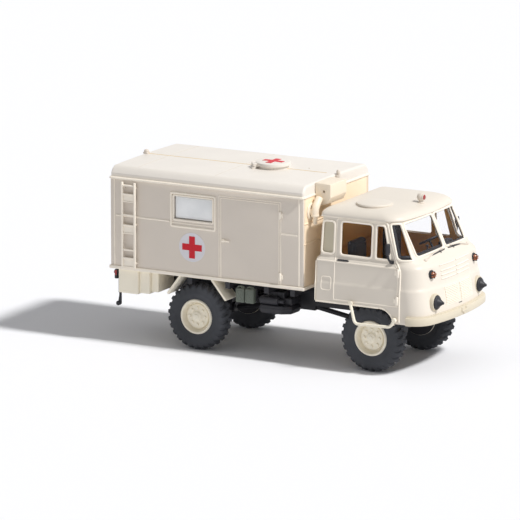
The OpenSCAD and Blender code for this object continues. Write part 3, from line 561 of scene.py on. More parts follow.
fronts = [block((wall_x1 - wall_t, wall_t - wall_y, wall_low), (wall_x1, wall_y - wall_t, wall_top), 0.05)]
fronts += [line((wall_x1, -wall_y + 0.25, z), (wall_x1, wall_y - 0.25, z), (1, 0, 0), 0.3, 0.14, 0.6)
           for z in (25.15, 21.56)]
fronts += [end_post(wall_x1, y, 1) for y in (-11.7, 11.7)]
piece("shelter_front_panel", fronts, painted_warm_light_peach, "shelter_front_wall")


def rear_line(loop, width, height):
    """A closed bead on the outer face of the rear wall, from (width, height) pairs."""
    p = spread(loop, 0.4, closed=True)
    return bead(np.insert(p, 0, wall_x0, 1), (-1, 0, 0), width, height, closed=True)


rears = [block((wall_x0, wall_t - wall_y, wall_low), (wall_x0 + wall_t, wall_y - wall_t, wall_top), 0.05)]
door_half, door_low, door_high = 7.2, wall_low + 0.2, 28.6
for y0, y1 in ((-door_half, -0.12), (0.12, door_half)):
    rears += [rear_line(frame_loop(y0, y1, door_low, door_high, 0.4), 0.2, 0.12),
              rear_line(frame_loop(y0 + 1, y1 - 1, door_low + 1.2, door_low + 6, 0.5), 0.24, 0.08),
              rear_line(frame_loop(y0 + 1.6, y1 - 1.6, 22.6, 26.6, 0.5), 0.42, 0.2)]
rears += [near((wall_x0, y, z), (-0.28, -0.26, -0.45), (0.1, 0.26, 0.45), 0.1)
          for y in (-door_half, door_half) for z in (door_low + 1.5, door_low + 7, door_high - 2)]
bolt_x, bolt_y = wall_x0 - 0.2, 0.55
bolt = spread([(bolt_x, bolt_y, door_low + 0.5), (bolt_x, bolt_y, door_high - 0.5)], 0.6)
lever = bent([(bolt_x, bolt_y, 21.2), (wall_x0 - 0.3, 1.2, 21.2), (wall_x0 - 0.3, 2.3, 20.9)], 0.2)
rears += [tube(bolt, 0.11, sides=10), tube(lever, 0.12, sides=10)]
rears += [near((wall_x0, 0, z), (-0.32, 0.3, -0.2), (0.1, 0.8, 0.2), 0.08) for z in (15.4, 21.3, 27.6)]
rears += [end_post(wall_x0, y, -1) for y in (-11.6, 11.6)]
piece("shelter_rear_panel", rears, cream, "shelter_rear_wall")

milk = plastic("milky_styrene", "frosted_plastic", (0.90, 0.92, 0.93), rough=0.35, mottle=0.1, gloss=0.5)
panes = [block((window_x - 4.4, wall_y - wall_t - 0.45, 23.3), (window_x + 4.4, wall_y - wall_t - 0.05, 28.2), 0.12),
         block((window_x - 3.8, wall_y - wall_t - 0.1, window_z[0] + 0.1),
               (window_x + 3.8, wall_y - 0.32, window_z[1] - 0.1), 0.12)]
rear_panes = [block((wall_x0 - 0.06, y, 22.85), (wall_x0 + 0.1, y + 3.4, 26.35), 0.05) for y in (-5.35, 1.95)]
piece("shelter_window_panes", [both(*panes), *rear_panes], milk, "shelter_windows")


# ---- Red crosses ----
# Markings printed flat on the moulding: a pale disc with a red cross on each side wall, and a bare red cross on the
# roof hatch. Each is a thin closed sheet that stands a few hundredths proud.
print_red = plastic("printed_red", "red_lens", (0.62, 0.008, 0.022), rough=0.5, mottle=0.06, grain=0.05)
print_white = plastic("printed_white", "ivory_plastic", (0.74, 0.725, 0.76), rough=0.5, grain=0.05)


def cross(centre, u, v, span, arm, out, half_t=0.05):
    """A flat plus sign: its twelve corners about the centre, along u and v, with a thickness along out."""
    a, b = arm / 2, span / 2
    flat = np.array([(a, a), (b, a), (b, -a), (a, -a), (a, -b), (-a, -b),
                     (-a, -a), (-b, -a), (-b, a), (-a, a), (-a, b), (a, b)])
    u, v, out = np.array(u, float), np.array(v, float), np.array(out, float)
    ring = np.array(centre, float) + flat[:, :1] * u + flat[:, 1:] * v
    return capped(np.stack([ring - out * half_t, ring + out * half_t]))


disc_x, disc_z, disc_r = -14.93, 18.84, 2.62
disc = [(0, -0.05), (disc_r, -0.05), (disc_r, 0.02), (disc_r - 0.02, 0.035), (0, 0.035)]
piece("marking_discs", both(spun(disc, (disc_x, wall_y, disc_z), (0, 1, 0), 64)), print_white)
hatch_x, hatch_top = -5.3, 33.25
crosses = [both(cross((disc_x, wall_y + 0.02, disc_z), (1, 0, 0), (0, 0, 1), 3.95, 1.16, (0, 1, 0))),
           cross((hatch_x, 0, hatch_top - 0.09), (1, 0, 0), (0, 1, 0), 3.9, 1.1, (0, 0, 1))]
piece("marking_crosses", crosses, print_red)


# ---- Shelter roof, gutter, hatch and lamps ----
# One shell with a gutter lip, an upright eave, a rounded shoulder and a nearly flat top. A round hatch with its
# two-lug catch sits ahead of the middle, with small lamps at both ends of the ridge.
eave_y, eave_z, shoulder_y, crown_z, crown_rise = 12.2, 30.72, 10.85, 31.9, 0.15


def crown_at(y):
    """The height of the roof's top: a parabola across, between the two shoulders."""
    return crown_z + crown_rise * (1 - (y / shoulder_y) ** 2)


def roof_section(inset):
    """Half the section is the eave's straight, a parabola for the shoulder, which leaves a crease above the eave, and
    the crown's parabola; the whole is drawn towards its middle by the inset."""
    t = np.linspace(0, 1, 11)[:, None]
    shoulder = ((1 - t) ** 2 * [eave_y, eave_z] + 2 * t * (1 - t) * np.array([11.6, 31.82])
                + t ** 2 * [shoulder_y, crown_z])
    y = np.linspace(shoulder_y, 0, 24)[1:]
    half = np.r_[[(eave_y, wall_top)], shoulder, np.c_[y, crown_at(y)]]
    whole = np.r_[half, (half * [-1, 1])[-2::-1]]
    middle = np.array([0, 30.6])
    return middle + (whole - middle) * (1 - inset / np.array([eave_y, 1.45]))


def roof_rings(x0, x1, inset, ease, n=5):
    """Sections along the roof: near both ends they draw in by ease times one less the sine, for a rounded edge."""
    a = np.linspace(0, np.pi / 2, n + 1)
    x = np.r_[x0 + ease * (1 - np.cos(a)), x1 - ease * (1 - np.cos(a[::-1]))]
    draw = np.r_[ease * (1 - np.sin(a)), ease * (1 - np.sin(a[::-1]))]
    sections = [roof_section(inset + by) for by in draw]
    rings = np.stack([np.insert(section, 0, at, 1) for at, section in zip(x, sections)])
    rings[:, [0, -1], 2] = wall_top
    return rings


shelter_roof = outwards(mesh("shelter_roof_shell", capped(roof_rings(wall_x0, wall_x1, 0, 0.4))), 20)
hollow = roof_rings(wall_x0 + wall_t, wall_x1 - wall_t, wall_t, 0.05)
hollow[:, [0, -1], 2] = wall_top - 1
carve(shelter_roof, capped(hollow), crease=20)
# This paler, cooler cream is painted light: the roof's cream plastic as it looks under the lamp from above.
painted_light_roof_cream = plastic("roof_painted_light_styrene", "ivory_plastic", (0.80, 0.75, 0.685), mottle=0.02)
fitted(shelter_roof, painted_light_roof_cream, "shelter_roof")

corners = [(wall_x0, -wall_y), (wall_x1, -wall_y), (wall_x1, wall_y), (wall_x0, wall_y)]
gutter = spread(bent(corners, 0.5, closed=True), 0.8, closed=True)
away = np.stack([headings(gutter, True)[:, 1], -headings(gutter, True)[:, 0]], -1)
overhang = np.where(np.abs(away[:, :1]) > 0.7, 0.2, 0.44)
lip = [(-0.3, 0.0), (0.8, 0.0), (0.97, 0.04), (1, 0.12), (0.97, 0.24), (0.85, 0.33), (0.0, 0.36), (-0.3, 0.36)]
rings = [np.insert(gutter + away * overhang * out, 2, wall_top + up, 1) for out, up in lip]
piece("gutter_lip", grid(np.stack(rings, 1), around=True, along=True), painted_highlight_cream)
# This yellow is painted shade: the shaded side of the low bead along the roof's centre seam.
painted_shade_straw = plastic("seam_bead_painted_shade", "bone_plastic", (0.76, 0.56, 0.28))
ridge_z = crown_z + crown_rise
piece("roof_seam", line((wall_x0 + 0.8, 0, ridge_z), (wall_x1 - 1.9, 0, ridge_z), (0, 0, 1), 0.16, 0.05, 1), painted_shade_straw)
crown_y = np.linspace(-shoulder_y, shoulder_y, 41)
joints = [bead(np.c_[np.full(41, x), crown_y, crown_at(crown_y)], (0, 0, 1), 0.18, 0.03) for x in (-26.5, -11)]
roof_stud = [(0, 0), (0.14, 0), (0.12, 0.12), (0, 0.16)]
joints.append(spun(roof_stud, (0.8, 2, 32.02), (0, 0, 1), 14))
piece("roof_joints", joints, cream)

lid = [(0, 32.0), (2.75, 32.0), (2.75, 32.45), (3.0, 32.5), (3.1, 32.58), (3.1, 32.95), (3.06, 33.05), (2.95, 33.1),
       (2.6, 33.13), (1.2, hatch_top - 0.07), (0, hatch_top - 0.06)]
hatch = [spun(lid, (hatch_x, 0, 0), (0, 0, 1), 72),
         near((hatch_x, 0, 0), (-0.5, 3.0, 32.05), (0.5, 3.5, 32.6), 0.1)]
catch = joined(near((hatch_x, 0, 0), (-4.0, -0.9, 32.0), (-3.3, 0.9, 32.4), 0.1),
               near((hatch_x, 0, 0), (-3.85, -0.75, 32.2), (-2.6, -0.3, 33.0), 0.1),
               near((hatch_x, 0, 0), (-3.85, 0.3, 32.2), (-2.6, 0.75, 33.0), 0.1),
               tube([(hatch_x - 3.55, -1.0, 32.7), (hatch_x - 3.55, 1.0, 32.7)], 0.22, sides=14))
hatch.append(placed(catch, (0, 0, 0), (0, 0, 1), 38, (hatch_x, 0, 0)))
piece("roof_hatch", hatch, painted_light_roof_cream, "shelter_hatch")

post_x = wall_x1 + 0.3
rear_lamp = [(0, 0), (0.42, 0), (0.46, 0.1), (0.44, 0.35), (0.3, 0.5), (0, 0.56)]
front_lamp = [(0, 0), (0.34, 0), (0.36, 0.15), (0.34, 0.55), (0.2, 0.75), (0, 0.8)]
lamps = [near((wall_x0, 0, 32), (-0.08, -0.55, 0), (0.8, 0.5, 0.35), 0.1),
         block((wall_x1 - 0.1, -0.55, 31.2), (post_x + 0.25, -0.2, 31.9), 0.1),
         block((wall_x1 - 0.1, -0.15, 31.1), (post_x + 0.3, 0.45, 32.1), 0.1),
         spun(rear_lamp, (wall_x0 + 0.38, -0.05, 32.25), (0, 0, 1), 24),
         spun(front_lamp, (post_x, 0.15, 32.05), (0, 0, 1), 20)]
piece("ridge_lamps", lamps, cream, "marker_lamps")


# ---- Ladder ----
# A cream styrene ladder up to the roof, moulded in one with three closed treads between its open rungs. Six short
# pegs hold it on the right wall near the rear corner.
(ladder_x0, ladder_out, _), (ladder_x1, _, _) = cad("side_ladder")
stile, bar = 0.38, 0.3
stiles = (ladder_x0, ladder_x1 - stile)
ladder = [block((x, ladder_out, wall_low - 0.1), (x + stile, ladder_out + 0.42, wall_top - 0.35), 0.1)
          for x in stiles]
ladder += [block((ladder_x0 + 0.1, ladder_out + 0.02, z), (ladder_x1 - 0.1, ladder_out + 0.38, z + bar), 0.1)
           for z in (28.62, 27.05, 23.3, 21.45, 17.0, 15.5)]
ladder += [block((ladder_x0 + 0.2, ladder_out + 0.2, z0), (ladder_x1 - 0.2, ladder_out + 0.36, z1), 0.05)
           for z0, z1 in ((25.8, 27.2), (20.1, 21.6), (14.1, 15.6))]
ladder += [block((ladder_x0 + 0.1, ladder_out + 0.08, z), (ladder_x1 - 0.1, ladder_out + 0.38, z + 0.2), 0.06)
           for z in (25.75, 20.05, 14.0)]
ladder += [block((x, ladder_out + 0.3, z), (x + stile, -wall_y + 0.05, z + 0.32), 0.06)
           for x in stiles for z in (14.6, 21.6, 28.2)]
piece("wall_ladder", ladder, painted_highlight_cream, "side_ladder")


# ---- Heater hood and vent elbow ----
# A cream hood hangs over the shelter's front edge, with a small hole in its right cheek. Beside it a bent pipe
# leaves a round flange on the wall and rises into the hood.
hood_low, hood_high = cad("heater_hood")
cheek = [(wall_x1 + 0.02, 31.95), (10.42, 31.85), (10.42, 29.5), (9.85, 28.35), (8.3, 27.95), (7.5, 28.0)]
cheek = bent(cheek, 0.14, closed=True)
# The hood's edges are rounded like the ends of a block, one plan for each (y, inset) pair.
ease, turn = 0.14, np.linspace(0, np.pi / 2, 4)
steps = [(hood_low[1] + ease * (1 - np.cos(a)), ease * (1 - np.sin(a))) for a in turn]
steps += [(hood_high[1] - ease * (1 - np.cos(a)), ease * (1 - np.sin(a))) for a in turn[::-1]]
middle = cheek.mean(0)
far = np.linalg.norm(cheek - middle, axis=1)[:, None]
rings = [middle + (cheek - middle) * (1 - inset / far) for _, inset in steps]
rings = np.stack([np.insert(r, 1, y, 1) for r, (y, _) in zip(rings, steps)])
hood = outwards(mesh("heater_hood_cover", capped(rings)))
carve(hood, spun([(0, -0.6), (0.24, -0.6), (0.24, 1), (0, 1)], (9.1, hood_low[1], 30.5), (0, -1, 0), 20))
# This warmer, brighter colour is painted warm light: the glow of the cream hood and elbow beside the shelter's front.
painted_warm_light_sand = plastic("sand_painted_warm_light_styrene", "ivory_plastic", (0.88, 0.77, 0.62), mottle=0.02)
fitted(hood, painted_warm_light_sand, "heater_hood")
pipe_x, pipe_y = 8.3, -9.75
pipe = bent([(pipe_x, pipe_y, 26.4), (pipe_x, pipe_y, 27.7), (pipe_x, -8.2, 29.3)], 0.75, n=8)
flange = [(0, -0.05), (1.42, -0.05), (1.5, 0.05), (1.5, 0.18), (1.42, 0.28), (1.1, 0.3), (1.05, 0.2), (0, 0.2)]
collar = [(0, 0), (0.36, 0), (0.42, 0.06), (0.42, 1.2), (0.62, 1.32), (0.74, 1.45), (0.74, 1.7), (0.6, 1.8), (0, 1.8)]
elbow = [tube(spread(pipe, 0.5), 0.68, sides=28), spun(flange, (wall_x1, -9.5, 27.15), (1, 0, 0), 44),
         spun([(0, 0), (0.55, 0), (0.55, 1), (0, 1)], (wall_x1 + 0.1, pipe_y, 27.1), (1, 0, 0), 24),
         spun(collar, (pipe_x, pipe_y, 24.95), (0, 0, 1), 28)]
piece("vent_elbow_pipe", elbow, painted_warm_light_sand, "vent_elbow")


# ---- Cab shell ----
# One thin moulding of cream styrene: doors, pillars, roof and nose in one. The roof's lip overhangs the windows,
# a ledge runs round the waist, and the window openings and the front wheel arches are cut through.
# Height, front at the centre line, rear wall, half width: all outside, from the sill up to the roof's crown.
cab_rows = np.array([
    [9.56, 31.95, 9.6, 12.46], [9.7, 32.0, 9.5, 12.5], [11.9, 31.9, 9.5, 12.5], [12.9, 31.8, 9.5, 12.47],
    [15.25, 31.4, 9.5, 12.4], [15.45, 31.34, 9.5, 12.37], [15.75, 31.16, 9.5, 12.27], [18.1, 30.88, 9.5, 12.1],
    [19.2, 30.75, 9.5, 12.02], [19.5, 30.58, 9.56, 11.93], [19.75, 30.36, 9.75, 11.78], [19.95, 30.12, 9.98, 11.63],
    [20.2, 29.85, 10.05, 11.56], [20.7, 29.25, 10.08, 11.52], [21.1, 28.8, 10.1, 11.49], [24, 27.48, 10.2, 11.27],
    [26.95, 26.13, 10.3, 11.02], [27.05, 26.12, 10.3, 11.02], [27.12, 26.3, 10.12, 11.15], [27.25, 26.37, 10.08,
                                                                                            11.2],
    [27.5, 26.32, 10.1, 11.15], [27.85, 26.05, 10.3, 10.92], [28.2, 25.5, 10.7, 10.45], [28.5, 24.6, 11.3, 9.7],
    [28.68, 23.5, 12.1, 8.7], [28.8, 22.1, 13.1, 7.4], [28.88, 20.6, 14.3, 5.9], [28.92, 19, 15.6, 4]])
bow_r, nose_r, heel_r = 50.0, 3.2, 0.8


def cab_row(z):
    """Front, rear and half width at heights z, straight between the rows of the table."""
    return [np.interp(z, cab_rows[:, 0], cab_rows[:, c]) for c in (1, 2, 3)]


def cab_ring(z, inset, n=(22, 22, 40, 6, 24)):
    """The cab's outline at heights z: a shallow bow in front, round corners, straight sides and a square rear."""
    z = np.atleast_1d(np.asarray(z, float))[:, None]
    xf, xr, w = (v + s * inset for v, s in zip(cab_row(z), (-1, 1, -1)))
    nose, heel = np.maximum(nose_r - inset, 0.4), np.maximum(heel_r - inset, 0.15)
    nose = np.minimum(nose, w * 0.6)
    deep = np.sqrt((bow_r - nose) ** 2 - (w - nose) ** 2)
    a = np.arctan2(w - nose, deep)
    cx = xf - bow_r + deep
    t = a * np.linspace(0, 1, n[0] + 1)[:-1]
    bow = np.stack([xf - bow_r + bow_r * np.cos(t), bow_r * np.sin(t)], -1)
    t = a + (np.pi / 2 - a) * np.linspace(0, 1, n[1] + 1)[:-1]
    corner = np.stack([cx + nose * np.cos(t), w - nose + nose * np.sin(t)], -1)
    s = np.linspace(0, 1, n[2] + 1)[:-1]
    side = np.stack([cx + (xr + heel - cx) * s, w + 0 * s], -1)
    t = np.pi / 2 + np.pi / 2 * np.linspace(0, 1, n[3] + 1)[:-1]
    back = np.stack([xr + heel + heel * np.cos(t), w - heel + heel * np.sin(t)], -1)
    s = np.linspace(0, 1, n[4] + 1)
    rear = np.stack([xr + 0 * s, (w - heel) * (1 - s)], -1)
    half = np.concatenate([bow, corner, side, back, rear], 1)
    whole = np.concatenate([half, half[:, -2:0:-1] * [1, -1]], 1)
    return np.concatenate([whole, np.broadcast_to(z[:, :, None], whole.shape[:2] + (1,))], -1)


def cab_skin(part, s, z, lift=0.0):
    """A point of the cab's skin, lifted off it: part "side" takes s along the length and lies on the wall or its
    front arc, "front" takes s across and lies on the bow or the arc, "corner" takes s along the arc itself."""
    s, z = np.asarray(s, float), np.asarray(z, float)
    xf, xr, w = cab_row(z)
    deep = np.sqrt((bow_r - nose_r) ** 2 - (w - nose_r) ** 2)
    cx = xf - bow_r + deep
    if part == "corner":
        t = s / nose_r
        return np.stack([cx + (nose_r + lift) * np.cos(t), w - nose_r + (nose_r + lift) * np.sin(t), z], -1)
    if part == "front":
        far = np.abs(s) > bow_r * np.sin(np.arctan2(w - nose_r, deep))
        arc = cx + np.sqrt(np.clip(nose_r ** 2 - (np.abs(s) - w + nose_r) ** 2, 0.01, None))
        x = np.where(far, arc, xf - bow_r + np.sqrt(bow_r ** 2 - s ** 2))
        return np.stack([x + lift, s, z], -1)
    y = np.where(s > cx, w - nose_r + np.sqrt(np.clip(nose_r ** 2 - (s - cx) ** 2, 0.01, None)), w)
    t = np.arcsin(np.clip((s - cx) / nose_r, 0, 1))
    return np.stack([s + lift * np.sin(t), y + lift * np.cos(t), z], -1)


def on_cab(part, points, closed=False, lift=0.0, step=0.3):
    """A path on the cab's left half and its outward directions: each is the way that a point moves when lifted."""
    p = spread(points, step, closed)
    at, above = cab_skin(part, p[:, 0], p[:, 1], lift), cab_skin(part, p[:, 0], p[:, 1], lift + 0.1)
    return at, (above - at) / np.linalg.norm(above - at, axis=1)[:, None]


def cab_bead(part, points, width=0.22, height=0.09, closed=False, lift=0.0):
    """A bead laid on the left half of the cab."""
    return bead(*on_cab(part, points, closed, lift), width, height, closed)


# Window openings of the left half, as (part of the skin, eased outline): the right half mirrors them.
cab_openings = {
    "rear_light": ("side", bent([(10.55, 20.5), (13.05, 20.5), (13.05, 26.2), (10.75, 26.2)], 0.7, closed=True)),
    "door_light": ("side", frame_loop(14.25, 20.45, 20.45, 26.4, 0.7)),
    "quarter_light": ("side", bent([(21.15, 20.5), (24.15, 20.5), (22.8, 26.4), (21.15, 26.4)], 0.5, closed=True)),
    "corner_light": ("corner", bent([(1.95, 20.6), (4.65, 20.6), (3.7, 26.75), (1.8, 26.75)], 0.5, closed=True)),
    "screen": ("front", bent([(0.3, 21.25), (9.15, 20.95), (9.3, 26.7), (0.3, 26.95)], 0.7, closed=True))}


def plug(name):
    """A closed plug through the skin at an opening: the outline carried from well inside to well outside."""
    part, outline = cab_openings[name]
    s, z = spread(outline, 0.3, closed=True).T
    at = cab_skin(part, s, z)
    if part == "front":
        return capped(np.stack([at - [2.5, 0, 0], at + [2.5, 0, 0]]))
    if part == "side":
        return capped(np.stack([at * [1, 0, 1] + [0, y, 0] for y in (9.7, 13.2)]))
    return capped(np.stack([cab_skin(part, s, z, lift) for lift in (-1.3, 1.0)]))


heights = np.unique(np.concatenate([cab_rows[:, 0], np.arange(9.7, 28.9, 0.6)]))
hollow_foot, ceiling_z, shell_t, cab_sill = 8.6, 28.3, 0.45, 11.95
inside = cab_ring(np.r_[hollow_foot, heights[heights < ceiling_z]], shell_t)
arch_x, arch_z, arch_turn = 22.5, 9.3, np.linspace(0, np.pi / 2, 13)


def arch_line(r, rise):
    """A quarter of an ellipse of half length r and height rise over the front wheel, as (length, height) pairs."""
    return np.c_[arch_x + r * np.sin(arch_turn), arch_z + rise * np.cos(arch_turn)]


arch = np.r_[[(5, cab_sill)], arch_line(2.6, 2.65), [(25.1, 5), (5, 5)]]
arch = both(capped(np.stack([np.insert(arch, 1, y, 1) for y in (9.2, 14)])))
shell = outwards(mesh("cab_shell_moulding", capped(cab_ring(heights, 0))))
carve(shell, capped(inside), block((5, -9.6, 5), (28, 9.6, 11.93), 0.01), arch,
      both(*[plug(name) for name in cab_openings]))
# The orange brown here is painted shade: the cab's own cream plastic as it looks inside, in the cab's shadow.
painted_shade_lining = plastic("cab_painted_shade_lining", "brown_interior", (0.80, 0.47, 0.14), rough=0.6)
pale_cream = plastic("cab_styrene", "ivory_plastic", (0.765, 0.70, 0.61), mottle=0.02)
fitted(shell, pale_cream, "cab_shell")
shell.data.materials.append(painted_shade_lining)
# The faces more than a skin's depth inside the outline take the second, brown finish: painted shade of the cream
# plastic inside the cab.
skin_t = 0.3
centres = np.zeros(len(shell.data.polygons) * 3)
shell.data.polygons.foreach_get("center", centres)
x, y, z = centres.reshape(-1, 3).T * 1000
front, rear, width = cab_row(z)
bow = front - bow_r + np.sqrt(bow_r ** 2 - y ** 2)
from_corner = np.hypot(np.clip(x - (bow - nose_r), 0, None), np.clip(np.abs(y) - (width - nose_r), 0, None))
painted_shade_faces = (x > rear + skin_t) & (x < bow - skin_t) & (np.abs(y) < width - skin_t) & (from_corner < nose_r - skin_t)
painted_shade_faces &= (z < 28.4) & (z > 12)
shell.data.polygons.foreach_set("material_index", painted_shade_faces.astype(np.int32))

# Moulded lines: raised window rims, the door's outline, the drip rail that runs down the front pillar, the grille.
trim = [cab_bead(part, bent(outline, 0.01, closed=True), 0.4, 0.19, True) for part, outline in cab_openings.values()]
door = [(13.4, 12.6), (13.4, 26.72), (22.7, 26.72), (25.0, 19.9), (25.85, 19.2), (25.85, 12.6)]
rail = [(10.3, 27.0), (23.1, 27.0), (25.35, 20.2), (26.3, 19.0), (26.3, 9.9)]
filler = frame_loop(10.9, 12.8, 14.2, 16.5, 0.45)
trim += [cab_bead("side", points, wide, high) for points, wide, high in (
    (bent(door, 0.4), 0.2, 0.07), ([(13.4, 12.65), (25.85, 12.65)], 0.18, 0.06), (bent(rail, 0.55), 0.3, 0.16),
    ([(9.9, 12.05), (22.3, 12.05)], 0.3, 0.12), (arch_line(2.72, 2.77), 0.3, 0.12),
    ([(9.75, 12.2), (9.75, 19.15)], 0.16, 0.06), ([(9.9, 19.3), (25.3, 19.3)], 0.26, 0.1))]
trim.append(cab_bead("side", filler, 0.15, 0.07, True))
for z in (18.5, 13.7):
    hinge = cab_skin("side", 25.9, z)
    pin = [(0, -0.75), (0.24, -0.75), (0.28, -0.68), (0.28, 0.68), (0.24, 0.75), (0, 0.75)]
    trim += [spun(pin, hinge + [0, 0.05, 0], (0, 0, 1), 16),
             near(hinge, (-0.7, -0.2, -0.45), (0, 0.12, 0.45), 0.08)]
trim += [cab_bead("front", [(0.0, z), (half, z)], 0.22, 0.14)
         for z, half in ((19.15, 5.6), (18.15, 5.2), (17.4, 5.2), (16.7, 5.2))]
trim += [cab_bead("front", [(0.35, z), (4.85, z)], 0.17, 0.15) for z in np.linspace(12.35, 15.15, 11)]
trim.append(cab_bead("front", frame_loop(0.2, 5.1, 12.1, 15.4), 0.12, 0.05, True))
piece("cab_trim", both(*trim), painted_highlight_cream)
slot = cab_bead("front", [(-0.7, 11.75), (0.5, 11.75)], 0.16, 0.03)
handle = cab_bead("side", bent([(13.95, 19.62), (16.0, 19.62), (16.0, 19.66)], 0.01), 0.3, 0.22)
piece("door_handles", [slot, both(handle)], soot)


# ---- Cab glazing and gaskets ----
# A clear styrene insert is pushed up into the shell behind all its openings. Black gaskets line the screens, and the
# rear side lights are opaque panes of their own, dark beige as painted shade.
def clear_plastic():
    """Clear styrene: mostly see-through, faintly blue, with a polished surface and a trace of moulding haze."""
    finish, tree, shade, place = noisy("clear_styrene", "clear_plastic")
    ranged(tree, noise(tree, place, 300, 3), 0.03, 0.1, shade.inputs["Roughness"])
    toned(tree, noise(tree, place, 120, 2), (0.42, 0.44, 0.52), (0.5, 0.52, 0.6), shade.inputs["Base Color"])
    shade.inputs["Alpha"].default_value = 0.015
    shade.inputs["Specular IOR Level"].default_value = 0.9
    return finish


clear = clear_plastic()


def sheet_between(outer, inner):
    """A closed sheet from two grids of points: outer rows followed by inner rows backwards, with flat end strips."""
    rings = np.concatenate([outer, inner[:, ::-1]], 1)
    m, n = rings.shape[:2]
    p, faces = grid(rings, around=True)
    k = np.arange(n // 2 - 1)
    ends = [np.stack([row + k, row + k + 1, row + n - 2 - k, row + n - 1 - k], -1) for row in (0, (m - 1) * n)]
    return p, faces + ends


rows, pane_rear = np.linspace(20.2, 26.98, 14), 13.9
outline = cab_ring([23.0], 0)[0]
order = np.roll(np.arange(len(outline)), len(outline) // 2)
keep = order[outline[order, 0] > pane_rear]
insert = sheet_between(cab_ring(rows, 0.5)[:, keep], cab_ring(rows, 0.68)[:, keep])
piece("cab_clear_insert", insert, clear, "cab_glazing")
s, z = spread(cab_openings["rear_light"][1], 0.3, closed=True).T
rear_light = capped(np.stack([cab_skin("side", s, z, lift) for lift in (-0.5, -0.18)]))
# This dark beige is painted shade: the cream plastic in shade behind the rear side lights.
painted_shade_pane = plastic("rear_light_painted_shade_pane", "frosted_plastic", (0.58, 0.52, 0.39), rough=0.35, gloss=0.5)
piece("cab_rear_panes", both(rear_light), painted_shade_pane)


def strip(part, points, r, lift, closed=False, sides=12, step=0.3):
    """A black round strip along a path on the left half of the cab, sunk behind the skin."""
    return tube(cab_skin(part, *spread(points, step, closed).T, lift), r, closed, sides)


seals = [strip(*cab_openings["screen"], 0.07, -0.3, True, 10),
         strip(*cab_openings["corner_light"], 0.09, -0.3, True, 10),
         strip("front", [(0.6, 21.2), (8.9, 20.95)], 0.34, -0.55)]
# The band and its foot show in the right corner pane only.
band = joined(strip("corner", [(4.3, 21.0), (3.4, 26.6)], 0.36, -0.45, step=0.4),
              strip("corner", [(2.2, 21.0), (4.4, 21.0)], 0.42, -0.6))
piece("screen_gaskets", [both(*seals), (band[0] * [1, -1, 1], band[1])], soot)


# ---- Inside the cab ----
# A floor with its engine cover, brown as painted shade of the cream plastic, two black seats with upright
# backs, a black dash shelf and a three-spoke wheel, all seen through the windows.
coat(soot, "steering_wheel")
coat(painted_shade_lining, "cab_floor")
seat_black = plastic("seat_black", "brown_interior", (0.035, 0.035, 0.04), rough=0.7, mottle=0.2, grain=0.4)
seat = [block((14.5, 4.0, 13.6), (19, 8.8, 16.2), 0.5, 5), block((14.2, 4.1, 13.5), (15.5, 9.0, 22.4), 0.45, 5),
        block((15.3, 4.5, 15.2), (15.75, 8.6, 21.7), 0.2, 4), block((15.0, 4.6, 13.35), (18.4, 8.2, 13.7), 0.1)]
seat_top = 16.18
seat += [line((x, 4.3, seat_top), (x, 8.5, seat_top), (0, 0, 1), 0.2, 0.08) for x in (15.6, 16.7, 17.8)]
piece("cab_seats_pair", both(*seat), seat_black, "cab_seats")
dial = [(0, 0), (0.42, 0), (0.45, 0.06), (0.38, 0.12), (0, 0.08)]
dash = [block((26.0, -9.6, 18.3), (27.5, 9.6, 20.0), 0.3, 4), block((25.1, -9.4, 19.4), (27.3, 9.4, 20.45), 0.3, 4),
        block((25.0, 4.6, 20.1), (26.2, 8.2, 21.0), 0.3, 4), block((23.6, 2.9, 17.0), (23.9, 3.2, 20.2), 0.1),
        spun([(0, 0), (0.3, 0.1), (0.32, 0.3), (0, 0.5)], (23.75, 3.05, 20.1), (0, 0, 1), 12)]
dash += [spun(dial, (25.02, y, 20.5), (-1, 0, 0), 20) for y in (5.5, 6.6, 7.5)]
piece("dash_shelf", dash, seat_black, "dashboard")


# ---- Cab roof fittings ----
# A shallow round hatch and a small cream beacon are clipped into the roof. The beacon is a ball on a stem, and its
# red lens looks forward.
hatch_at = [*np.mean(cad("cab_hatch"), 0)[:2], 0]
cover = [(0, 28.3), (2.9, 28.3), (2.95, 28.7), (3.08, 28.76), (3.15, 28.84), (3.15, 29.02), (3.08, 29.12),
         (2.9, 29.17), (1.6, 29.24), (0, 29.27)]
piece("cab_roof_hatch", spun(cover, hatch_at, (0, 0, 1), 72), pale_cream, "cab_hatch")
ball_r, ball_x, ball_z = 0.72, np.mean(cad("roof_beacon"), 0)[0], 29.62
turn = np.linspace(0, np.pi, 19)
ball_at = (ball_x, 0, ball_z)
foot = [(0, 28.5), (0.6, 28.5), (0.6, 28.72), (0.42, 28.85), (0.4, 29.3), (0, 29.3)]
beacon = [spun(np.c_[ball_r * np.sin(turn), -ball_r * np.cos(turn)], ball_at, (1, 0, 0), 36),
          spun(foot, (ball_x, 0, 0), (0, 0, 1), 24),
          spun([(0, 0.35), (0.62, 0.35), (0.64, 0.45), (0.56, 0.64), (0, 0.64)], ball_at, (1, 0, 0), 32)]
piece("roof_beacon_body", beacon, cream, "roof_beacon")
red_cap = [(0, 0.5), (0.45, 0.5), (0.45, 0.68), (0.33, 0.78), (0, 0.82)]
piece("roof_beacon_lens", spun(red_cap, ball_at, (1, 0, 0), 28), lens_red)


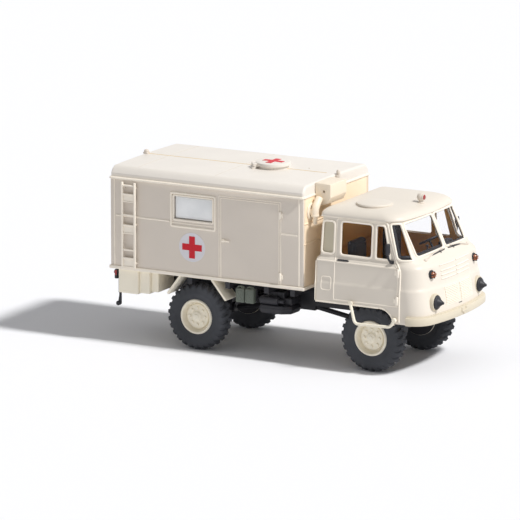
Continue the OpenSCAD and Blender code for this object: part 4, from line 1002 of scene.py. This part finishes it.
# ---- Bumper, lamps and signals ----
# The ivory bumper wraps the nose with a ledge on top. Headlamps are ivory rings closed by black covers with a
# pointed snout; above them sit black signal bodies with amber lenses.
# The bumper's section, as (distance from the cab, height) pairs, is carried round the nose.
bumper_z, bumper_end = 10.5, 27.8
keep = order[cab_ring([bumper_z], 0)[0][order, 0] > bumper_end]
profile = [(0, 9.62), (0.55, 9.58), (0.62, 9.7), (0.62, 10.75), (0.55, 10.92), (0.3, 11.0), (0.3, 11.13), (0, 11.15)]
sections = np.stack([np.insert(cab_ring([bumper_z], -out)[0][keep, :2], 2, z, 1) for out, z in profile], 1)
hook_x = cad("front_bumper")[1][0]
hook = [near((hook_x, 0, 0), (-0.5, -0.95, 10.15), (-0.08, 0.95, 10.55), 0.14),
        near((hook_x, 0, 0), (-0.6, -0.3, 9.75), (-0.1, 0.3, 10.3), 0.1)]
hook += [near((hook_x, y, 10.3), (-0.5, 0, 0), (-0.15, 0.35, 0.65)) for y in (-0.95, 0.6)]
ivory = plastic("ivory_styrene", "ivory_plastic", (0.67, 0.60, 0.47), mottle=0.03)
piece("bumper_wrap", [capped(sections), *hook], ivory, "front_bumper")

eye = (31.3, 8.2, 13.2)
eye_rim = [(0, -2.0), (1.42, -2.0), (1.5, -0.2), (1.5, 0.0), (1.42, 0.12), (1.3, 0.14), (1.22, 0.05), (0, 0.02)]
piece("headlamp_rings", both(spun(eye_rim, eye, (1, 0, 0), 48)), ivory, "headlamps")
snout = [(0, 0), (1.18, 0), (1.22, 0.1), (1.2, 0.32), (1.08, 0.45), (0.88, 0.5), (0.8, 0.56), (0.58, 0.88),
         (0.38, 1.15), (0.3, 1.22), (0.26, 1.42), (0.18, 1.5), (0, 1.52)]
brow = [near(eye, (0.35, -0.75, 0.05), (0.75, 0.75, 0.25), 0.08),
        near(eye, (0.35, -0.6, -0.5), (0.7, 0.6, -0.35), 0.08)]
piece("headlamp_covers", both(spun(snout, eye, (1, 0, 0), 40), *brow), soot, "blackout_covers")
signal = (29.6, 8.05, 18.0)
body = [(0, -0.4), (0.76, -0.4), (0.82, 0), (0.82, 0.6), (0.76, 0.8), (0.62, 0.82), (0.56, 0.95), (0, 0.95)]
guard = [near(signal, (0.6, -0.07, -0.62), (1.4, 0.07, 0.62), 0.05),
         near(signal, (0.6, -0.62, -0.07), (1.38, 0.62, 0.07), 0.05)]
piece("signal_bodies", both(spun(body, signal, (1, 0, 0), 8), *guard), soot, "turn_signals")
amber = plastic("amber_lens", "amber_lens", (0.32, 0.085, 0.02), rough=0.2, gloss=0.6)
lens = [(0, 0.7), (0.54, 0.7), (0.55, 1.0), (0.53, 1.22), (0.46, 1.3), (0, 1.32)]
lens_ribs = [near(signal, (1.3, -0.38, z), (1.5, 0.38, z + 0.12), 0.04) for z in (-0.3, -0.06, 0.18)]
piece("signal_lenses", both(spun(lens, signal, (1, 0, 0), 28), *lens_ribs), amber)


# ---- Mirrors, wipers and steps ----
# Thin mouldings plugged into the cab: black mirrors on bent arms, and a wiper along the foot of each screen. The cab
# steps are bent cream tubes with a stud at each end.
mirror_x = 24.4
arm = [(mirror_x + 0.1, 11.65, 20.3), (mirror_x + 0.05, 12.6, 20.6), (mirror_x, 13.1, 21.3), (mirror_x, 13.1, 22.4)]
head = [near((mirror_x, 0, 0), (-0.24, 12.6, 21.75), (0.2, 13.7, 23.75), 0.17, 4),
        near((mirror_x, 0, 0), (-0.35, 11.4, 20.0), (0.45, 12.0, 20.5)),
        near((mirror_x, 0, 0), (0.1, 12.75, 21.95), (0.3, 13.55, 23.55), 0.08),
        tube(spread(bent(arm, 0.4), 0.3), 0.2)]
piece("mirror_pair", both(*head), soot, "door_mirrors")
blade = on_cab("front", [(0.7, 21.0), (5.6, 20.78)], lift=0.12)[0]
clip = on_cab("front", [(2.4, 20.75), (2.5, 21.2)], lift=0.22)[0]
piece("wiper_blades", both(tube(blade, 0.1, sides=8), tube(clip, 0.07, sides=8)), soot)
wiper = on_cab("front", [(1.5, 21.3), (4.8, 21.0), (8.0, 20.35)], lift=0.24)[0]
knob = [(0, -0.2), (0.28, -0.2), (0.3, 0.1), (0.2, 0.25), (0, 0.28)]
knob = spun(knob, cab_skin("front", 8.0, 20.35), (0.64, 0, 0.77), 16)
piece("wiper_arms", both(tube(wiper, 0.13, sides=10), knob), cream)
step_y = 12.95
step = bent([(17.0, step_y, 12.4), (17.9, step_y, 8.87), (24.9, step_y, 9.02), (25.55, step_y, 10.3)], 0.75, n=8)
stud = [(0, -0.5), (0.3, -0.5), (0.3, 0), (0.42, 0.05), (0.44, 0.3), (0.36, 0.46), (0, 0.5)]
steps = [spun(stud, (x, step_y - 0.25, z), (0, 1, 0), 20) for x, z in ((17.0, 12.4), (25.55, 10.3))]
piece("cab_step_tubes", both(tube(spread(step, 0.4), 0.27, sides=16), *steps), bone, "cab_steps")


# ---- Wheels ----
# Black tyres with heavy shoulder lugs on dished cream rims: a rolled flange, a sunk well, a domed disc with eight
# nut bosses and a hub boss. Each pair is pressed on its steel shaft.
rubber = plastic("tyre_black", "black_tyre", (0.056, 0.059, 0.067), rough=0.75, mottle=0.2, grain=0.35, gloss=0.25)
tyre_r, tyre_half, track, lug_count, lug_deep = 6.0, 1.6, 9.3, 27, 0.3
# Half the width at the side walls, the radius where they bulge most, and the rise from there to the tread.
wall_half, bulge_r, tread_rise, bead_turn = tyre_half - 0.05, 4.35, 1.34, np.radians(158)


def tyre(x, side):
    """A tyre's skin: the radius and the width follow a section of angle v, a superellipse between bead and tread.
    The lugs raise it where a slanted square wave of the turning angle is high, over the tread and the shoulders."""
    v = np.r_[np.linspace(-1, -0.8, 3)[:-1], np.linspace(-0.8, 0.8, 29), np.linspace(0.8, 1, 3)[1:]]
    u = 2 * np.pi * np.arange(lug_count * 14)[:, None] / (lug_count * 14)
    a = v * bead_turn
    past = np.abs(a) - np.pi / 2
    flat = np.sign(np.sin(a)) * np.abs(np.sin(a)) ** 0.62 * wall_half
    flat = np.where(past > 0, np.sign(a) * (wall_half - 0.22 * past), flat)
    high = bulge_r + tread_rise * np.sign(np.cos(a)) * np.abs(np.cos(a)) ** 0.55
    high = np.where(past > 0, bulge_r - 1.3 * past / np.radians(68), high)
    across = np.abs(flat) / tyre_half
    wave = (u * lug_count / (2 * np.pi) + 0.42 * across + np.where(flat > 0, 0.5, 0)) % 1
    lug = np.clip((0.3 - np.abs(wave - 0.5)) / 0.07, 0, 1)
    lug = lug * (np.clip((high - 4.75) / 0.35, 0, 1) * np.clip((across - 0.06) / 0.08, 0, 1))
    ribs = 0.05 * np.exp(-((high - 4.2) / 0.1) ** 2) * (np.abs(a) > 1.2)
    r = np.minimum(high + lug_deep * lug, tyre_r)
    y = np.sign(flat) * (np.abs(flat) + ribs + 0.05 * lug)
    points = np.stack([x + r * np.cos(u), side * track + y * np.ones_like(u), tyre_r + r * np.sin(u)], -1)
    return grid(points, around=True, along=True)


def rim(x, side):
    """A rim: one profile of (radius, distance outwards) spun about the axle, with bosses set round the hub."""
    face_y = side * track
    section = [(0, -1.55), (0.95, -1.55), (1.0, -1.4), (1.0, -0.2), (2.6, 0.3), (2.75, -1.4), (2.8, -1.58),
               (3.15, -1.55),
               (3.15, 1.3), (3.1, 1.45), (2.98, 1.56), (2.84, 1.56), (2.74, 1.46), (2.7, 1.2), (2.62, 0.7), (2.45,
                                                                                                             0.36),
               (2.28, 0.36), (2.18, 0.66), (2.1, 0.8), (1.7, 0.86), (1.2, 0.9), (1.0, 0.94), (0.9, 1.05), (0.86,
                                                                                                           1.22),
               (0.78, 1.3), (0.5, 1.33), (0.45, 1.45), (0.38, 1.52), (0, 1.54)]
    boss = [(0, -0.1), (0.3, -0.1), (0.3, 0.12), (0.22, 0.26), (0, 0.29)]
    nuts, circle_r, disc_y = 8, 1.5, face_y + side * 0.88
    bosses = [spun(boss, (x + circle_r * np.cos(a), disc_y, tyre_r + circle_r * np.sin(a)), (0, side, 0), 14)
              for a in 2 * np.pi * np.arange(nuts) / nuts]
    return joined(spun(section, (x, face_y, tyre_r), (0, side, 0), 72), *bosses)


for name in ("front", "rear"):
    axle_x = np.mean(cad(name + "_axle_shaft"), 0)[0]
    wheelset = name + "_wheelset"
    piece(name + "_lugged_tyres", [tyre(axle_x, side) for side in (1, -1)], rubber, name + "_tyres", body=wheelset,
          crease=28)
    back = [(0, -1.5), (3.1, -1.5), (3.12, -1.6), (3.0, -1.66), (0, -1.66)]
    piece(name + "_brake_backs", both(spun(back, (axle_x, track, tyre_r), (0, 1, 0), 48)), soot, body=wheelset)
    piece(name + "_dished_rims", [rim(axle_x, side) for side in (1, -1)], bone, name + "_rims", body=wheelset,
          crease=40)
